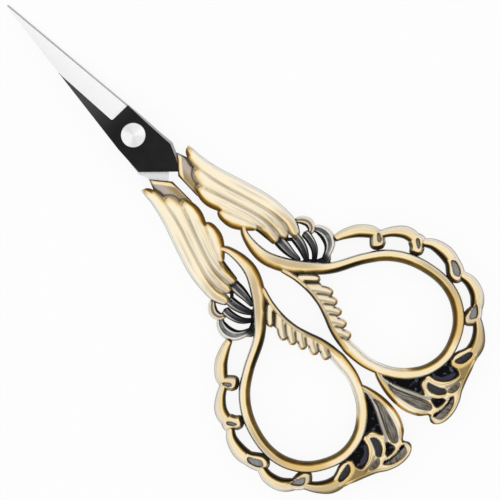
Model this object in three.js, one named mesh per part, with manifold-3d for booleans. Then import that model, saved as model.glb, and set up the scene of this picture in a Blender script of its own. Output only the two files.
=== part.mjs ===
// Embroidery scissors: two ground steel blades on a two-piece rivet, each blade's tang held in a pierced cast bow.
// Both halves come from the same blade and the same bow: the second half is the first turned over about the long axis.
// Frame: +Y to the tips, +Z up, the pivot's axis on Z and the table at Z = 0. All sizes are in millimetres.
import * as THREE from "three";
import { mergeVertices } from "three/addons/utils/BufferGeometryUtils.js";
import Module from "manifold-3d";

const wasm = await Module();
wasm.setup();

// Blade
const BLADE_THICKNESS = 1.7;
const BLADE_GAP = 0.1;
const BLADE_REACH = 38.6;
const TIP_WIDTH = 0.4;
const TIP_OFFSET = -0.12;
const SPINE_AT_PIVOT = 4.4;
const EDGE_AT_PIVOT = 4.2;
const SHOULDER_WIDTH = 9.3;
const SHOULDER_DROP = 6.4;
const GRIND_START = 5.4;
const GRIND_WIDTH = 4.7;
const GRIND_END = 20.5;
const EDGE_THICKNESS = 0.3;

// Tang and the pocket that holds it
const TANG_WIDTH = 2.2;
const TANG_THICKNESS = 1.0;
const TANG_LENGTH = 10;
const TANG_LEAN = 0.14;
const SEAT_CLEARANCE = 0.2;
const COLLAR_WALL = 0.6;

// Pivot: a two-piece rivet, its pin pressed into its tube, with the same plain head at both ends
const RIVET_HEAD_DIAMETER = 5.3;
const RIVET_HEAD_HEIGHT = 0.5;
const RIVET_HEAD_CHAMFER = 0.2;
const TUBE_DIAMETER = 3.6;
const TUBE_WALL = 0.7;
const TUBE_FLOOR = 0.7;
const RUNNING_CLEARANCE = 0.05;
const ROUND_SEGMENTS = 32;

// Bow: full heights of its cast features, all centred on the parting plane
const RING_HEIGHT = 4.6;
const WING_HEIGHT = 4.6;
const ROPE_HEIGHT = 4.3;
const PETAL_HEIGHT = 3.2;
const SCALLOP_HEIGHT = 3.8;
const LEAF_HEIGHT = 4.0;
const WEB_HEIGHT = 1.8;
const RECESS_DEPTH = 0.6;
const COLLAR_RECESS_DEPTH = 0.25;

// The twisted stretch of the ring
const ROPE_TURNS = 6;
const ROPE_TURN_WIDTH = 2.2;
const ROPE_FIRST_REACH = 5.3;
const ROPE_LAST_REACH = 3.3;
const ROPE_FIRST_ANGLE = 0.89;
const ROPE_LAST_ANGLE = 1.1;

// Facets: the length of one step along a strand as a share of its width, and the sides and fullness of its section
const STEP_PER_WIDTH = 0.74;
const RING_SIDES = 12;
const STRAND_SIDES = 8;
const RING_FULLNESS = 0.62;
const FEATHER_FULLNESS = 0.7;

// The halves turn on their parting plane, which stands at half the tallest height over the table.
const HEAD_SEAT = BLADE_GAP / 2 + BLADE_THICKNESS + RUNNING_CLEARANCE;
const STACK_HALF = HEAD_SEAT + RIVET_HEAD_HEIGHT;
const PARTING_HEIGHT = Math.max(RING_HEIGHT, WING_HEIGHT, 2 * STACK_HALF) / 2;
const COLLAR_HEIGHT = BLADE_GAP + 2 * (TANG_THICKNESS + SEAT_CLEARANCE + COLLAR_WALL);

const steel = new THREE.MeshStandardMaterial({ color: 0xd9dadc, roughness: 0.3, metalness: 1 });
const rivetSteel = new THREE.MeshStandardMaterial({ color: 0xe3e3e4, roughness: 0.25, metalness: 1 });
const antiqueBrass = new THREE.MeshStandardMaterial({ color: 0xb9975b, roughness: 0.38, metalness: 1 });

// A closed geometry as a solid, for joining and cutting.
function solidOf(geometry) {
  const bare = new THREE.BufferGeometry();
  bare.setAttribute("position", geometry.getAttribute("position"));
  bare.setIndex(geometry.getIndex());
  const merged = mergeVertices(bare, 1e-4);
  const vertProperties = new Float32Array(merged.getAttribute("position").array);
  const triVerts = new Uint32Array(merged.getIndex().array);
  return new wasm.Manifold(new wasm.Mesh({ numProp: 3, vertProperties, triVerts }));
}

function geometryOf(solid) {
  const mesh = solid.getMesh();
  const geometry = new THREE.BufferGeometry();
  geometry.setAttribute("position", new THREE.BufferAttribute(new Float32Array(mesh.vertProperties), 3));
  geometry.setIndex(new THREE.BufferAttribute(new Uint32Array(mesh.triVerts), 1));
  geometry.computeVertexNormals();
  return geometry;
}

// A solid through rings of points that all have the same count, closed by a fan at each end.
function loft(rings) {
  const sides = rings[0].length;
  const last = rings.length - 1;
  const positions = rings.flat().flatMap((point) => [point.x, point.y, point.z]);
  const faces = [];
  for (let r = 0; r < last; r++) {
    for (let s = 0; s < sides; s++) {
      const a = r * sides + s;
      const b = r * sides + ((s + 1) % sides);
      faces.push(a, b, b + sides, a, b + sides, a + sides);
    }
  }
  for (let s = 1; s < sides - 1; s++) {
    faces.push(0, s + 1, s);
    faces.push(last * sides, last * sides + s, last * sides + s + 1);
  }
  const geometry = new THREE.BufferGeometry();
  geometry.setAttribute("position", new THREE.Float32BufferAttribute(positions, 3));
  geometry.setIndex(faces);
  return solidOf(geometry);
}

// A rounded section with flat lands at its top, bottom and sides; both half sizes are 1.
function cushionSection(sides, fullness) {
  const land = Math.cos(Math.PI / sides) ** fullness;
  return Array.from({ length: sides }, (_, k) => {
    const angle = (2 * Math.PI * (k + 0.5)) / sides;
    const across = Math.sign(Math.cos(angle)) * Math.abs(Math.cos(angle)) ** fullness;
    const up = Math.sign(Math.sin(angle)) * Math.abs(Math.sin(angle)) ** fullness;
    return new THREE.Vector2(across / land, up / land);
  });
}

const ringSection = cushionSection(RING_SIDES, RING_FULLNESS);
const strandSection = cushionSection(STRAND_SIDES, RING_FULLNESS);
const featherSection = cushionSection(STRAND_SIDES, FEATHER_FULLNESS);

// A cast strand through stations [x, y, width] in the parting plane, with one height along its length.
function strand(stations, height, section = strandSection) {
  const curve = new THREE.CatmullRomCurve3(stations.map(([x, y, width]) => new THREE.Vector3(x, y, width)));
  const width = Math.max(...stations.map((station) => station[2]));
  const steps = Math.max(stations.length - 1, Math.round(curve.getLength() / (STEP_PER_WIDTH * width)));
  const rings = [];
  for (let i = 0; i <= steps; i++) {
    const centre = curve.getPoint(i / steps);
    const along = curve.getTangent(i / steps).setZ(0).normalize();
    const half = centre.z / 2;
    rings.push(section.map((point) => new THREE.Vector3(
      centre.x - along.y * point.x * half,
      centre.y + along.x * point.x * half,
      (point.y * height) / 2,
    )));
  }
  return loft(rings);
}

// A flat plate with the outline's straight edges, centred on the parting plane.
function plate(outline, height) {
  const shape = new THREE.Shape(outline.map(([x, y]) => new THREE.Vector2(x, y)));
  const geometry = new THREE.ExtrudeGeometry(shape, { depth: height, bevelEnabled: false });
  return solidOf(geometry.translate(0, 0, -height / 2));
}

function cylinder(diameter, height) {
  const geometry = new THREE.CylinderGeometry(diameter / 2, diameter / 2, height, ROUND_SEGMENTS);
  return solidOf(geometry.rotateX(Math.PI / 2));
}

// The same hollow in the front and the back of the bow, as deep as a recess is.
function recess(stations, height) {
  const cutter = strand(stations, 2 * RECESS_DEPTH);
  return cutter.translate([0, 0, height / 2]).add(cutter.translate([0, 0, -height / 2]));
}

// Blade: profiled from strip, ground on its outer face up to a plunge line, with a thinner tang

// The slanted mouth of the collar, from its outer corner to its inner one; the tang enters square to its middle.
const MOUTH = [new THREE.Vector2(4.2, -9.05), new THREE.Vector2(0.9, -12.95)];
const MOUTH_MIDDLE = MOUTH[0].clone().lerp(MOUTH[1], 0.45);
const MOUTH_ALONG = MOUTH[1].clone().sub(MOUTH[0]).normalize();
const MOUTH_OUT = new THREE.Vector2(MOUTH_ALONG.y, -MOUTH_ALONG.x);
const SHOULDER_MIDDLE = MOUTH_MIDDLE.clone().addScaledVector(MOUTH_OUT, SEAT_CLEARANCE);

function tangOutline(clearance) {
  const along = new THREE.Vector2(Math.sin(TANG_LEAN), -Math.cos(TANG_LEAN));
  const across = new THREE.Vector2(-along.y, along.x);
  const half = TANG_WIDTH / 2 + clearance;
  const root = MOUTH_MIDDLE.clone().addScaledVector(along, -TANG_WIDTH);
  const end = MOUTH_MIDDLE.clone().addScaledVector(along, TANG_LENGTH + clearance);
  return [[root, -half], [end, -half], [end, half], [root, half]].map(([point, side]) =>
    point.clone().addScaledVector(across, side).toArray());
}

const spineAt = (y) => THREE.MathUtils.mapLinear(y, 0, BLADE_REACH, -SPINE_AT_PIVOT, TIP_OFFSET - TIP_WIDTH / 2);
const edgeAt = (y) => THREE.MathUtils.mapLinear(y, 0, BLADE_REACH, EDGE_AT_PIVOT, TIP_OFFSET + TIP_WIDTH / 2);
const grindStartsAt = (y) => THREE.MathUtils.mapLinear(
  y, GRIND_START, GRIND_END, edgeAt(GRIND_START) - GRIND_WIDTH, spineAt(GRIND_END));

function bladeOutline() {
  const inner = SHOULDER_MIDDLE.clone().addScaledVector(MOUTH_ALONG, 0.75 * TANG_WIDTH);
  const outer = SHOULDER_MIDDLE.clone().addScaledVector(MOUTH_ALONG, -0.75 * TANG_WIDTH);
  return [
    [spineAt(BLADE_REACH), BLADE_REACH],
    [-SPINE_AT_PIVOT, 0],
    [-SHOULDER_WIDTH / 2, -SHOULDER_DROP],
    inner.toArray(),
    outer.toArray(),
    [SHOULDER_WIDTH / 2, -SHOULDER_DROP],
    [EDGE_AT_PIVOT, 0],
    [edgeAt(BLADE_REACH), BLADE_REACH],
  ];
}

// What the grinding takes away: a wedge that leaves the cutting edge one thickness from heel to tip.
function grind() {
  return loft([BLADE_REACH + 1, GRIND_START].map((y) => {
    const start = grindStartsAt(y);
    const width = edgeAt(y) - start;
    const far = start + 2 * width;
    return [
      new THREE.Vector3(start, y, BLADE_THICKNESS),
      new THREE.Vector3(far, y, 2 * EDGE_THICKNESS - BLADE_THICKNESS),
      new THREE.Vector3(far, y, 2 * BLADE_THICKNESS),
      new THREE.Vector3(start, y, 2 * BLADE_THICKNESS),
    ];
  }));
}

function blade() {
  const body = plate(bladeOutline(), BLADE_THICKNESS).translate([0, 0, BLADE_THICKNESS / 2]);
  const tang = plate(tangOutline(0), TANG_THICKNESS).translate([0, 0, TANG_THICKNESS / 2]);
  const pivotHole = cylinder(TUBE_DIAMETER + 2 * RUNNING_CLEARANCE, 4 * BLADE_THICKNESS);
  return body.subtract(grind()).add(tang).subtract(pivotHole).translate([0, 0, BLADE_GAP / 2]);
}

// Bow: one pierced casting, the same on both faces of the parting plane

// The wing's long feathers, from the outermost to the short inner one; each row is [x, y, width].
const FEATHERS = [
  [
    [6.9, -9.8, 0.5], [6.4, -11, 1.7], [6.25, -13.5, 2.4], [6.9, -18, 3], [8.65, -24, 3.5], [10.6, -30, 3.1],
    [11.35, -35.3, 2.5], [10.8, -37.8, 2.6], [10, -39.7, 1.2],
  ],
  [
    [4.7, -14.3, 0.9], [4.25, -15.6, 2.1], [4.3, -18, 2.5], [5.4, -23, 2.6], [7.8, -29, 2.5], [8.75, -34, 2.7],
    [8.5, -36.8, 2.6], [8, -38.3, 1.1],
  ],
  [
    [2.45, -17.4, 0.8], [2.35, -18.8, 1.9], [2.6, -21.5, 2.6], [4.2, -25.5, 2.7], [6, -30, 2.6], [6.6, -34, 2.4],
    [6.45, -36.8, 1.9], [6.4, -37.9, 0.9],
  ],
  [[1.95, -24, 0.7], [2.05, -25.8, 2.3], [2.9, -28, 2.9], [4.1, -30.4, 2.2], [5.4, -32.9, 0.7]],
];

// The wire that leaves the wing, runs round the finger ring and comes back up to itself.
const RING_WIRE = [
  [3.6, -29.8, 1.2], [2.4, -31.8, 1.7], [1.85, -35.5, 2.6], [2.35, -39, 3.1], [4.6, -43.2, 3.2], [7.6, -46.7, 2.9],
  [11.2, -49.7, 2.4], [17, -53, 2.4], [21.4, -56.4, 2.5], [24.4, -61.2, 2.5], [25.75, -67.4, 2.5], [24.8, -72.8, 2.6],
  [21.4, -77.3, 2.5], [15.6, -79.8, 2.4], [9.8, -78.9, 2.4], [5, -75.2, 2.5], [2.3, -70, 2.6], [1.65, -65.4, 2.9],
  [2.3, -60, 2.9], [3.9, -55, 2.7], [4.7, -50, 2.5], [4.4, -46, 2.5], [3.55, -43.1, 2],
];
const ROPE_START = [4.05, -46.4];
const ROPE_END = [2.15, -59.8];

// The petals between the wing and the ring.
const PETALS = [
  [[6.8, -37, 2.4], [6.75, -39.5, 2.3], [6.7, -41.5, 1.7], [7.1, -44, 0.8]],
  [[9.8, -39, 2], [9.65, -41, 2.2], [9, -43.1, 1.9], [7.8, -45.3, 0.9]],
  [[11.7, -40.2, 1.9], [11.75, -41.7, 1.8], [11.3, -43.7, 1.5], [10.2, -45.1, 1.1], [8.5, -46.4, 0.8]],
  [[12, -36.9, 0.9], [13.4, -37.8, 1.5], [14.2, -39.3, 1.7], [13.6, -40.8, 1.5], [12.2, -41.1, 1]],
  [[13.4, -41.2, 1], [14.8, -42, 2], [15.2, -43.8, 2.6], [14.6, -45.6, 2.2], [12.9, -46.9, 1.5], [10.3, -47.8, 1.2]],
];

// The scalloped outer rim: each arch ends in a knob that bears on the ring.
const SCALLOPS = [
  [[15.3, -45.6, 0.9], [17.3, -46.2, 1.4], [20.2, -47.9, 1.7], [22.3, -50.5, 2], [21.8, -52.6, 2.5], [20.4, -54.3, 2]],
  [[22.9, -51.4, 1.4], [25.4, -52.9, 1.6], [27.5, -55, 2.2], [28, -57.8, 2.6], [26.8, -59.6, 2.4], [25.2, -60, 1.7]],
  [[28.2, -58.8, 1.2], [30.1, -61, 1.7], [30.8, -64.2, 2.5], [30, -67.6, 2.9], [28.2, -69.2, 2.3], [26.6, -69.5, 1.5]],
  [[29.4, -69.2, 1.5], [30.1, -72.2, 1.9], [29.3, -75.2, 2.3], [27, -77.6, 2.7], [25, -78, 2.4], [23.4, -77.2, 1.7]],
  [[26, -78.4, 1.5], [24.3, -81.4, 2], [21.6, -83.3, 2.5], [18.6, -83.4, 3], [16.2, -82.6, 2.8], [15.2, -81.2, 1.7]],
];
const KNOB_RECESSES = [
  [[23, -51.4, 0.6], [22.4, -52.2, 1], [21.8, -52.9, 0.5]],
  [[28.4, -58.1, 0.5], [27.8, -58.9, 1], [27.1, -59.5, 0.5]],
  [[30.3, -66.7, 0.6], [29.8, -68.2, 1.4], [28.9, -69.6, 0.7]],
  [[27.2, -77, 0.6], [26.1, -77.5, 1.2], [24.7, -78, 0.7]],
  [[19.7, -83.5, 0.8], [17.8, -83.2, 1.6], [15.9, -82.5, 0.8]],
];

// The leaf and the curled tendrils at the foot of the ring, on a sunk web.
const LEAF = [
  [2.6, -70.8, 1], [2.05, -74, 1.9], [2, -76.6, 3], [2.6, -79.5, 4.4], [3.65, -82.6, 5.3], [4.6, -85.4, 4.2], [5.3, -87.6, 2.4],
];
const LEAF_RECESS = [[2.4, -76.6, 0.5], [3.1, -79.5, 1.9], [3.9, -82.6, 2.9], [4.7, -85.1, 1.3]];
const TENDRILS = [
  [
    [3.2, -87.9, 1.1], [4.3, -88.1, 2.6], [6.3, -88.6, 2.9], [9.5, -88.4, 2.8], [12.2, -87.2, 2], [15.2, -85.9, 1.5], [18.6, -84.7, 1.6],
  ],
  [
    [6.5, -83.8, 1], [7.2, -81.8, 1.1], [8.5, -80.8, 1.2], [9.7, -81.8, 1.1], [10.2, -83.6, 1.1], [12.2, -85.2, 1.3],
    [15, -85.2, 1.2],
  ],
  [[6.6, -83.2, 0.9], [8, -85, 0.9], [10, -86, 1], [12.4, -86.5, 1]],
];
const TENDRIL_RECESS = [[4.8, -88, 0.6], [7.5, -88.5, 1.2], [10.2, -87.8, 0.6]];
const WEB = [
  [2, -73.4], [4.4, -73.6], [9, -78.2], [15.4, -79.6], [16.4, -82.6], [17.6, -85], [8.4, -87.6], [4.6, -86.8],
];

// The collar that the tang enters, and the sunk panel inside its border.
const COLLAR = [...MOUTH.map((corner) => corner.toArray()), [0.8, -18.5], [1.2, -21], [2.6, -22], [5.9, -18], [5.9, -13], [4.95, -11.3]];
const COLLAR_PANEL = [[4.3, -10.2], [1.8, -13.2], [1.75, -17.5], [5.2, -17.5], [5.2, -11.6]];

function ropeTurns() {
  const turns = [];
  for (let i = 0; i < ROPE_TURNS; i++) {
    const share = i / (ROPE_TURNS - 1);
    const x = THREE.MathUtils.lerp(ROPE_START[0], ROPE_END[0], share ** 1.6);
    const y = THREE.MathUtils.lerp(ROPE_START[1], ROPE_END[1], share);
    const reach = THREE.MathUtils.lerp(ROPE_FIRST_REACH, ROPE_LAST_REACH, share);
    const angle = THREE.MathUtils.lerp(ROPE_FIRST_ANGLE, ROPE_LAST_ANGLE, share);
    const at = (part, width) => [
      x + part * reach * Math.cos(angle),
      y - part * reach * Math.sin(angle),
      width * ROPE_TURN_WIDTH,
    ];
    turns.push(strand([at(0, 0.6), at(0.35, 1), at(0.8, 0.95), at(1, 0.45)], ROPE_HEIGHT, featherSection));
  }
  return turns;
}

function bow() {
  const pieces = [
    ...FEATHERS.map((stations) => strand(stations, WING_HEIGHT, featherSection)),
    strand(RING_WIRE, RING_HEIGHT, ringSection),
    ...ropeTurns(),
    ...PETALS.map((stations) => strand(stations, PETAL_HEIGHT)),
    ...SCALLOPS.map((stations) => strand(stations, SCALLOP_HEIGHT)),
    strand(LEAF, LEAF_HEIGHT),
    ...TENDRILS.map((stations) => strand(stations, SCALLOP_HEIGHT)),
    plate(WEB, WEB_HEIGHT),
  ];
  const panel = plate(COLLAR_PANEL, 2 * COLLAR_RECESS_DEPTH);
  const collar = plate(COLLAR, COLLAR_HEIGHT)
    .subtract(panel.translate([0, 0, COLLAR_HEIGHT / 2]))
    .subtract(panel.translate([0, 0, -COLLAR_HEIGHT / 2]));
  const pocket = plate(tangOutline(SEAT_CLEARANCE), TANG_THICKNESS + 2 * SEAT_CLEARANCE)
    .translate([0, 0, BLADE_GAP / 2 + TANG_THICKNESS / 2]);
  const hollows = [
    ...KNOB_RECESSES.map((stations) => recess(stations, SCALLOP_HEIGHT)),
    recess(LEAF_RECESS, LEAF_HEIGHT),
    recess(TENDRIL_RECESS, SCALLOP_HEIGHT),
    pocket,
  ];
  const cast = pieces.reduce((whole, piece) => whole.add(piece), collar);
  return hollows.reduce((whole, hollow) => whole.subtract(hollow), cast);
}

// Pivot

function lathe(profile) {
  const points = profile.map(([radius, height]) => new THREE.Vector2(radius, height));
  return solidOf(new THREE.LatheGeometry(points, ROUND_SEGMENTS).rotateX(Math.PI / 2));
}

const HEAD_RADIUS = RIVET_HEAD_DIAMETER / 2;
const BORE_RADIUS = TUBE_DIAMETER / 2 - TUBE_WALL;
const BORE_BOTTOM = TUBE_FLOOR - STACK_HALF;

function rivetPin() {
  const pin = BORE_RADIUS - RUNNING_CLEARANCE;
  return lathe([
    [0, BORE_BOTTOM + RUNNING_CLEARANCE],
    [pin, BORE_BOTTOM + RUNNING_CLEARANCE],
    [pin, HEAD_SEAT],
    [HEAD_RADIUS, HEAD_SEAT],
    [HEAD_RADIUS, STACK_HALF - RIVET_HEAD_CHAMFER],
    [HEAD_RADIUS - RIVET_HEAD_CHAMFER, STACK_HALF],
    [0, STACK_HALF],
  ]);
}

function rivetTube() {
  const mouth = HEAD_SEAT - RUNNING_CLEARANCE;
  return lathe([
    [0, -STACK_HALF],
    [HEAD_RADIUS - RIVET_HEAD_CHAMFER, -STACK_HALF],
    [HEAD_RADIUS, RIVET_HEAD_CHAMFER - STACK_HALF],
    [HEAD_RADIUS, -HEAD_SEAT],
    [TUBE_DIAMETER / 2, -HEAD_SEAT],
    [TUBE_DIAMETER / 2, mouth],
    [BORE_RADIUS, mouth],
    [BORE_RADIUS, BORE_BOTTOM],
    [0, BORE_BOTTOM],
  ]);
}

// Assembly
function named(name, solid, material) {
  const mesh = new THREE.Mesh(geometryOf(solid), material);
  mesh.name = name;
  return mesh;
}

const bladeSolid = blade();
const bowSolid = bow();

const frontHalf = new THREE.Group();
frontHalf.add(named("front_blade", bladeSolid, steel));
frontHalf.add(named("right_bow", bowSolid, antiqueBrass));

const backHalf = new THREE.Group();
backHalf.rotation.y = Math.PI;
backHalf.add(named("back_blade", bladeSolid, steel));
backHalf.add(named("left_bow", bowSolid, antiqueBrass));

const scissors = new THREE.Group();
scissors.position.z = PARTING_HEIGHT;
scissors.add(frontHalf, backHalf);
scissors.add(named("rivet_pin", rivetPin(), rivetSteel));
scissors.add(named("rivet_tube", rivetTube(), rivetSteel));

const embroideryScissors = new THREE.Group();
embroideryScissors.add(scissors);

export default embroideryScissors;
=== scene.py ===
import math

import bmesh
import bpy
import numpy as np
from mathutils import Matrix, Vector


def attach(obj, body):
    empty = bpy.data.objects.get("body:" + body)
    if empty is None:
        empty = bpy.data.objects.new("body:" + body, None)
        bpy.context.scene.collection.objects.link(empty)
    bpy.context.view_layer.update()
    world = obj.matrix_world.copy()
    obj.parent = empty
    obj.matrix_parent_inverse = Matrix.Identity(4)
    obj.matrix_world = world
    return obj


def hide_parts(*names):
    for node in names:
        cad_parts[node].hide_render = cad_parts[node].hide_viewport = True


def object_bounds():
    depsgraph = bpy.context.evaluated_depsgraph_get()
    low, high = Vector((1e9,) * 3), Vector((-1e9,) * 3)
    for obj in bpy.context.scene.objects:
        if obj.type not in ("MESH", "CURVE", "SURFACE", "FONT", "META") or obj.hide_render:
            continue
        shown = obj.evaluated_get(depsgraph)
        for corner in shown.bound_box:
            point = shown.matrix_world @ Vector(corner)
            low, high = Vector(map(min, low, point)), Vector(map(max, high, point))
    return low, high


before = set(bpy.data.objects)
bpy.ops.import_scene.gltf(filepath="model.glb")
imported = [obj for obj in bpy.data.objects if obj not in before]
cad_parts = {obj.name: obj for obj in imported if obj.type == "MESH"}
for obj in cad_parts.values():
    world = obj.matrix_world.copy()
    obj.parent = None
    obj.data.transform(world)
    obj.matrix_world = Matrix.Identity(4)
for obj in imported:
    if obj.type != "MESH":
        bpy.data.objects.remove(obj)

cad_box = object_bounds()

# Table, light and camera
# The scissors lie closed on a plain white table under one broad soft light.
# The camera looks straight down, turned so that the tips point to the upper left.
MM = 0.001
TABLE_SIZE = 3.0
TABLE_WHITENESS = 0.9
SOFT_LIGHT_SIZE = 2.9
SOFT_LIGHT_PLACE = (-0.12, 0.05, 1.1)
SOFT_LIGHT_RADIANCE = 0.4
ROOM_RADIANCE = 0.66
TURN = math.radians(46)
PICTURE_WIDTH = 106.5 * MM
PICTURE_CENTRE = Vector((0.9, -34.84, 3.4)) * MM
CAMERA_DISTANCE = 0.9


class Field:
    """A socket of a node tree; arithmetic on it adds Math nodes to the same tree."""

    def __init__(self, tree, socket=None):
        self.tree = tree
        self.socket = socket

    def node(self, kind, settings=None, sockets=None, output=0):
        made = self.tree.nodes.new(kind)
        for name, value in (settings or {}).items():
            setattr(made, name, value)
        for name, value in (sockets or {}).items():
            if isinstance(value, Field):
                self.tree.links.new(value.socket, made.inputs[name])
            else:
                made.inputs[name].default_value = value
        return Field(self.tree, made.outputs[output])

    def math(self, operation, *others):
        return self.node("ShaderNodeMath", {"operation": operation}, dict(enumerate((self, *others))))

    def vector(self, operation, other):
        return self.node("ShaderNodeVectorMath", {"operation": operation}, {0: self, 1: other})

    def times(self, scale):
        return self.node("ShaderNodeVectorMath", {"operation": "SCALE"}, {0: self, "Scale": scale})

    def part(self, axis):
        return self.node("ShaderNodeSeparateXYZ", {}, {"Vector": self}, output=axis)

    def noise(self, scale, detail):
        return self.node("ShaderNodeTexNoise", {}, {"Vector": self, "Scale": scale, "Detail": detail})

    def bump(self, strength, distance):
        sizes = {"Height": self, "Strength": strength, "Distance": distance}
        return self.node("ShaderNodeBump", {}, sizes, output="Normal")

    def smooth(self, low, high):
        settings = {"interpolation_type": "SMOOTHSTEP"}
        return self.node("ShaderNodeMapRange", settings, {"Value": self, "From Min": low, "From Max": high})

    def mix(self, first, second):
        """Runs from the first colour to the second; three numbers make an opaque colour."""
        ends = [(*end, 1) if isinstance(end, tuple) else end for end in (first, second)]
        return self.node("ShaderNodeMix", {"data_type": "RGBA"}, {0: self, 6: ends[0], 7: ends[1]}, output=2)

    def ramp(self, *stops):
        """A colour ramp on this value; each stop is a place and three shares of colour."""
        colours = self.node("ShaderNodeValToRGB", {}, {"Fac": self})
        points = colours.socket.node.color_ramp.elements
        for index, (place, *colour) in enumerate(stops):
            if index >= len(points):
                points.new(place)
            points[index].position = place
            points[index].color = (*colour, 1)
        return colours

    def __add__(self, other):
        return self.math("ADD", other)

    def __sub__(self, other):
        return self.math("SUBTRACT", other)

    def __rsub__(self, other):
        return self.node("ShaderNodeMath", {"operation": "SUBTRACT"}, {0: other, 1: self})

    def __mul__(self, other):
        return self.math("MULTIPLY", other)

    def __truediv__(self, other):
        return self.math("DIVIDE", other)

    def __pow__(self, other):
        return self.math("POWER", other)

    def __abs__(self):
        return self.math("ABSOLUTE")

    __radd__ = __add__
    __rmul__ = __mul__

    def to_surface(self):
        self.tree.links.new(self.socket, self.tree.nodes["Material Output"].inputs["Surface"])


def new_finish(name):
    """A new material, with the field that starts its nodes and its shader."""
    material = bpy.data.materials.new(name)
    material.use_nodes = True
    return material, Field(material.node_tree), material.node_tree.nodes["Principled BSDF"]


def add_object(name, data):
    made = bpy.data.objects.new(name, data)
    bpy.context.collection.objects.link(made)
    return made


half_table = TABLE_SIZE / 2
table_corners = [(x * half_table, y * half_table, 0) for x, y in ((-1, -1), (1, -1), (1, 1), (-1, 1))]
table_mesh = bpy.data.meshes.new("table")
table_mesh.from_pydata(table_corners, [], [(0, 1, 2, 3)])
table = add_object("table", table_mesh)
table_white, table_start, table_shader = new_finish("table_white")
table_shader.inputs["Base Color"].default_value = (0.92, 0.92, 0.92, 1)
table_shader.inputs["Roughness"].default_value = 0.9
table_shader.inputs["Specular IOR Level"].default_value = 0.0
table_paint = Field(table_white.node_tree, table_shader.outputs["BSDF"])
table_glow = table_start.node("ShaderNodeEmission", {}, {"Color": (1, 1, 1, 1), "Strength": 1.0})
table_seen = table_start.node("ShaderNodeLightPath", output="Is Camera Ray")
for ray in ("Is Glossy Ray", "Is Transmission Ray"):
    table_seen = table_seen.math("MAXIMUM", table_start.node("ShaderNodeLightPath", output=ray))
table_start.node(
    "ShaderNodeMixShader", {}, {0: table_seen * TABLE_WHITENESS, 1: table_paint, 2: table_glow}
).to_surface()
table_mesh.materials.append(table_white)

soft_light_data = bpy.data.lights.new("soft_light", "AREA")
soft_light_data.shape = "SQUARE"
soft_light_data.size = SOFT_LIGHT_SIZE
soft_light_data.energy = SOFT_LIGHT_RADIANCE * math.pi * SOFT_LIGHT_SIZE ** 2
soft_light = add_object("soft_light", soft_light_data)
soft_light.location = SOFT_LIGHT_PLACE

room = bpy.data.worlds.new("room")
room.use_nodes = True
room.node_tree.nodes["Background"].inputs["Color"].default_value = (1, 1, 1, 1)
room.node_tree.nodes["Background"].inputs["Strength"].default_value = ROOM_RADIANCE
bpy.context.scene.world = room
bpy.context.scene.view_settings.view_transform = "Standard"

camera_data = bpy.data.cameras.new("camera")
camera_data.sensor_width = 36
camera_data.lens = camera_data.sensor_width * CAMERA_DISTANCE / PICTURE_WIDTH
camera = add_object("camera", camera_data)
picture_right = Vector((math.sin(TURN), -math.cos(TURN), 0))
picture_up = Vector((math.cos(TURN), math.sin(TURN), 0))
picture_turn = Matrix((picture_right, picture_up, Vector((0, 0, 1)))).transposed().to_4x4()
camera.matrix_world = Matrix.Translation(PICTURE_CENTRE + Vector((0, 0, CAMERA_DISTANCE))) @ picture_turn
bpy.context.scene.camera = camera


# Blades
# Two stainless steel strips, coated black and then ground bright on the outer face up to a plunge line.
# They lie flat against each other on the rivet, and each blade's base is cast into the collar of its bow.
BLADE_OUTER = 1.75 * MM
BLADE_INNER = 0.05 * MM
BLADE_REACH = 38.6 * MM
TIP_WIDTH = 0.4 * MM
TIP_OFFSET = -0.12 * MM
SPINE_AT_PIVOT = 4.4 * MM
EDGE_AT_PIVOT = 4.2 * MM
SHOULDER = (4.65 * MM, -6.4 * MM)
EDGE_SHOULDER = (4.95 * MM, -6.85 * MM)
BASE_INNER = (1.74 * MM, -12.43 * MM)
BASE_CHAMFER = (2.55 * MM, -11.1 * MM)
BASE_OUTER = (3.35 * MM, -10.6 * MM)
PLUNGE = 5.4 * MM
PLUNGE_CORNER = 0.4 * MM
GRIND_WIDTH = 4.7 * MM
GRIND_END = 20.5 * MM
GRIND_HOLLOW = 0.05 * MM
EDGE_THICKNESS = 0.3 * MM
HONED_WIDTH = 0.3 * MM
CHAMFER_AT_PIVOT = 0.3 * MM
CHAMFER_AT_SHOULDER = 0.55 * MM
EDGE_FLAT = 0.04 * MM
LEAST_WIDTH = 0.02 * MM
EDGE_BREAK = 0.12 * MM
HAIR = 1e-6
BARE = 0.0
LAPPED = 0.12
HONED = 0.5
COATED = 1.0
PARTING_HEIGHT = (cad_box[0].z + cad_box[1].z) / 2


def feed(shader, **sockets):
    """Links each field to the shader's socket of that name."""
    for name, field in sockets.items():
        field.tree.links.new(field.socket, shader.inputs[name.replace("_", " ")])


blade_steel, steel_start, steel_shader = new_finish("blade_steel")
steel_place = steel_start.node("ShaderNodeTexCoord", output="Object")
coat = steel_start.node("ShaderNodeAttribute", {"attribute_name": "coat"}, output="Fac")
grind_lines = steel_place.vector("MULTIPLY", (900, 14000, 900)).noise(1.0, 2.0)
cloud = steel_place.noise(260.0, 3.0)
bright_steel = grind_lines.smooth(0.3, 0.75).mix((0.87, 0.87, 0.875), (0.96, 0.96, 0.96))
# painted sheen: the black coat grows lighter towards the tip, with a faint random mottle
coat_mottle_and_painted_sheen = cloud.smooth(0.3, 0.8) * 0.1 + steel_place.part("Y").smooth(3 * MM, 13 * MM) * 0.9
black_coat = coat_mottle_and_painted_sheen.mix((0.0015, 0.0015, 0.0017), (0.06, 0.06, 0.061))
feed(
    steel_shader,
    Base_Color=coat.mix(bright_steel, black_coat),
    Metallic=1 - coat,
    Roughness=coat * (0.12 + cloud * 0.12) + 0.3 + grind_lines * 0.08,
    Normal=(grind_lines * (1 - coat)).bump(0.08, 0.02 * MM),
)
steel_shader.inputs["Specular IOR Level"].default_value = 0.2


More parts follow.
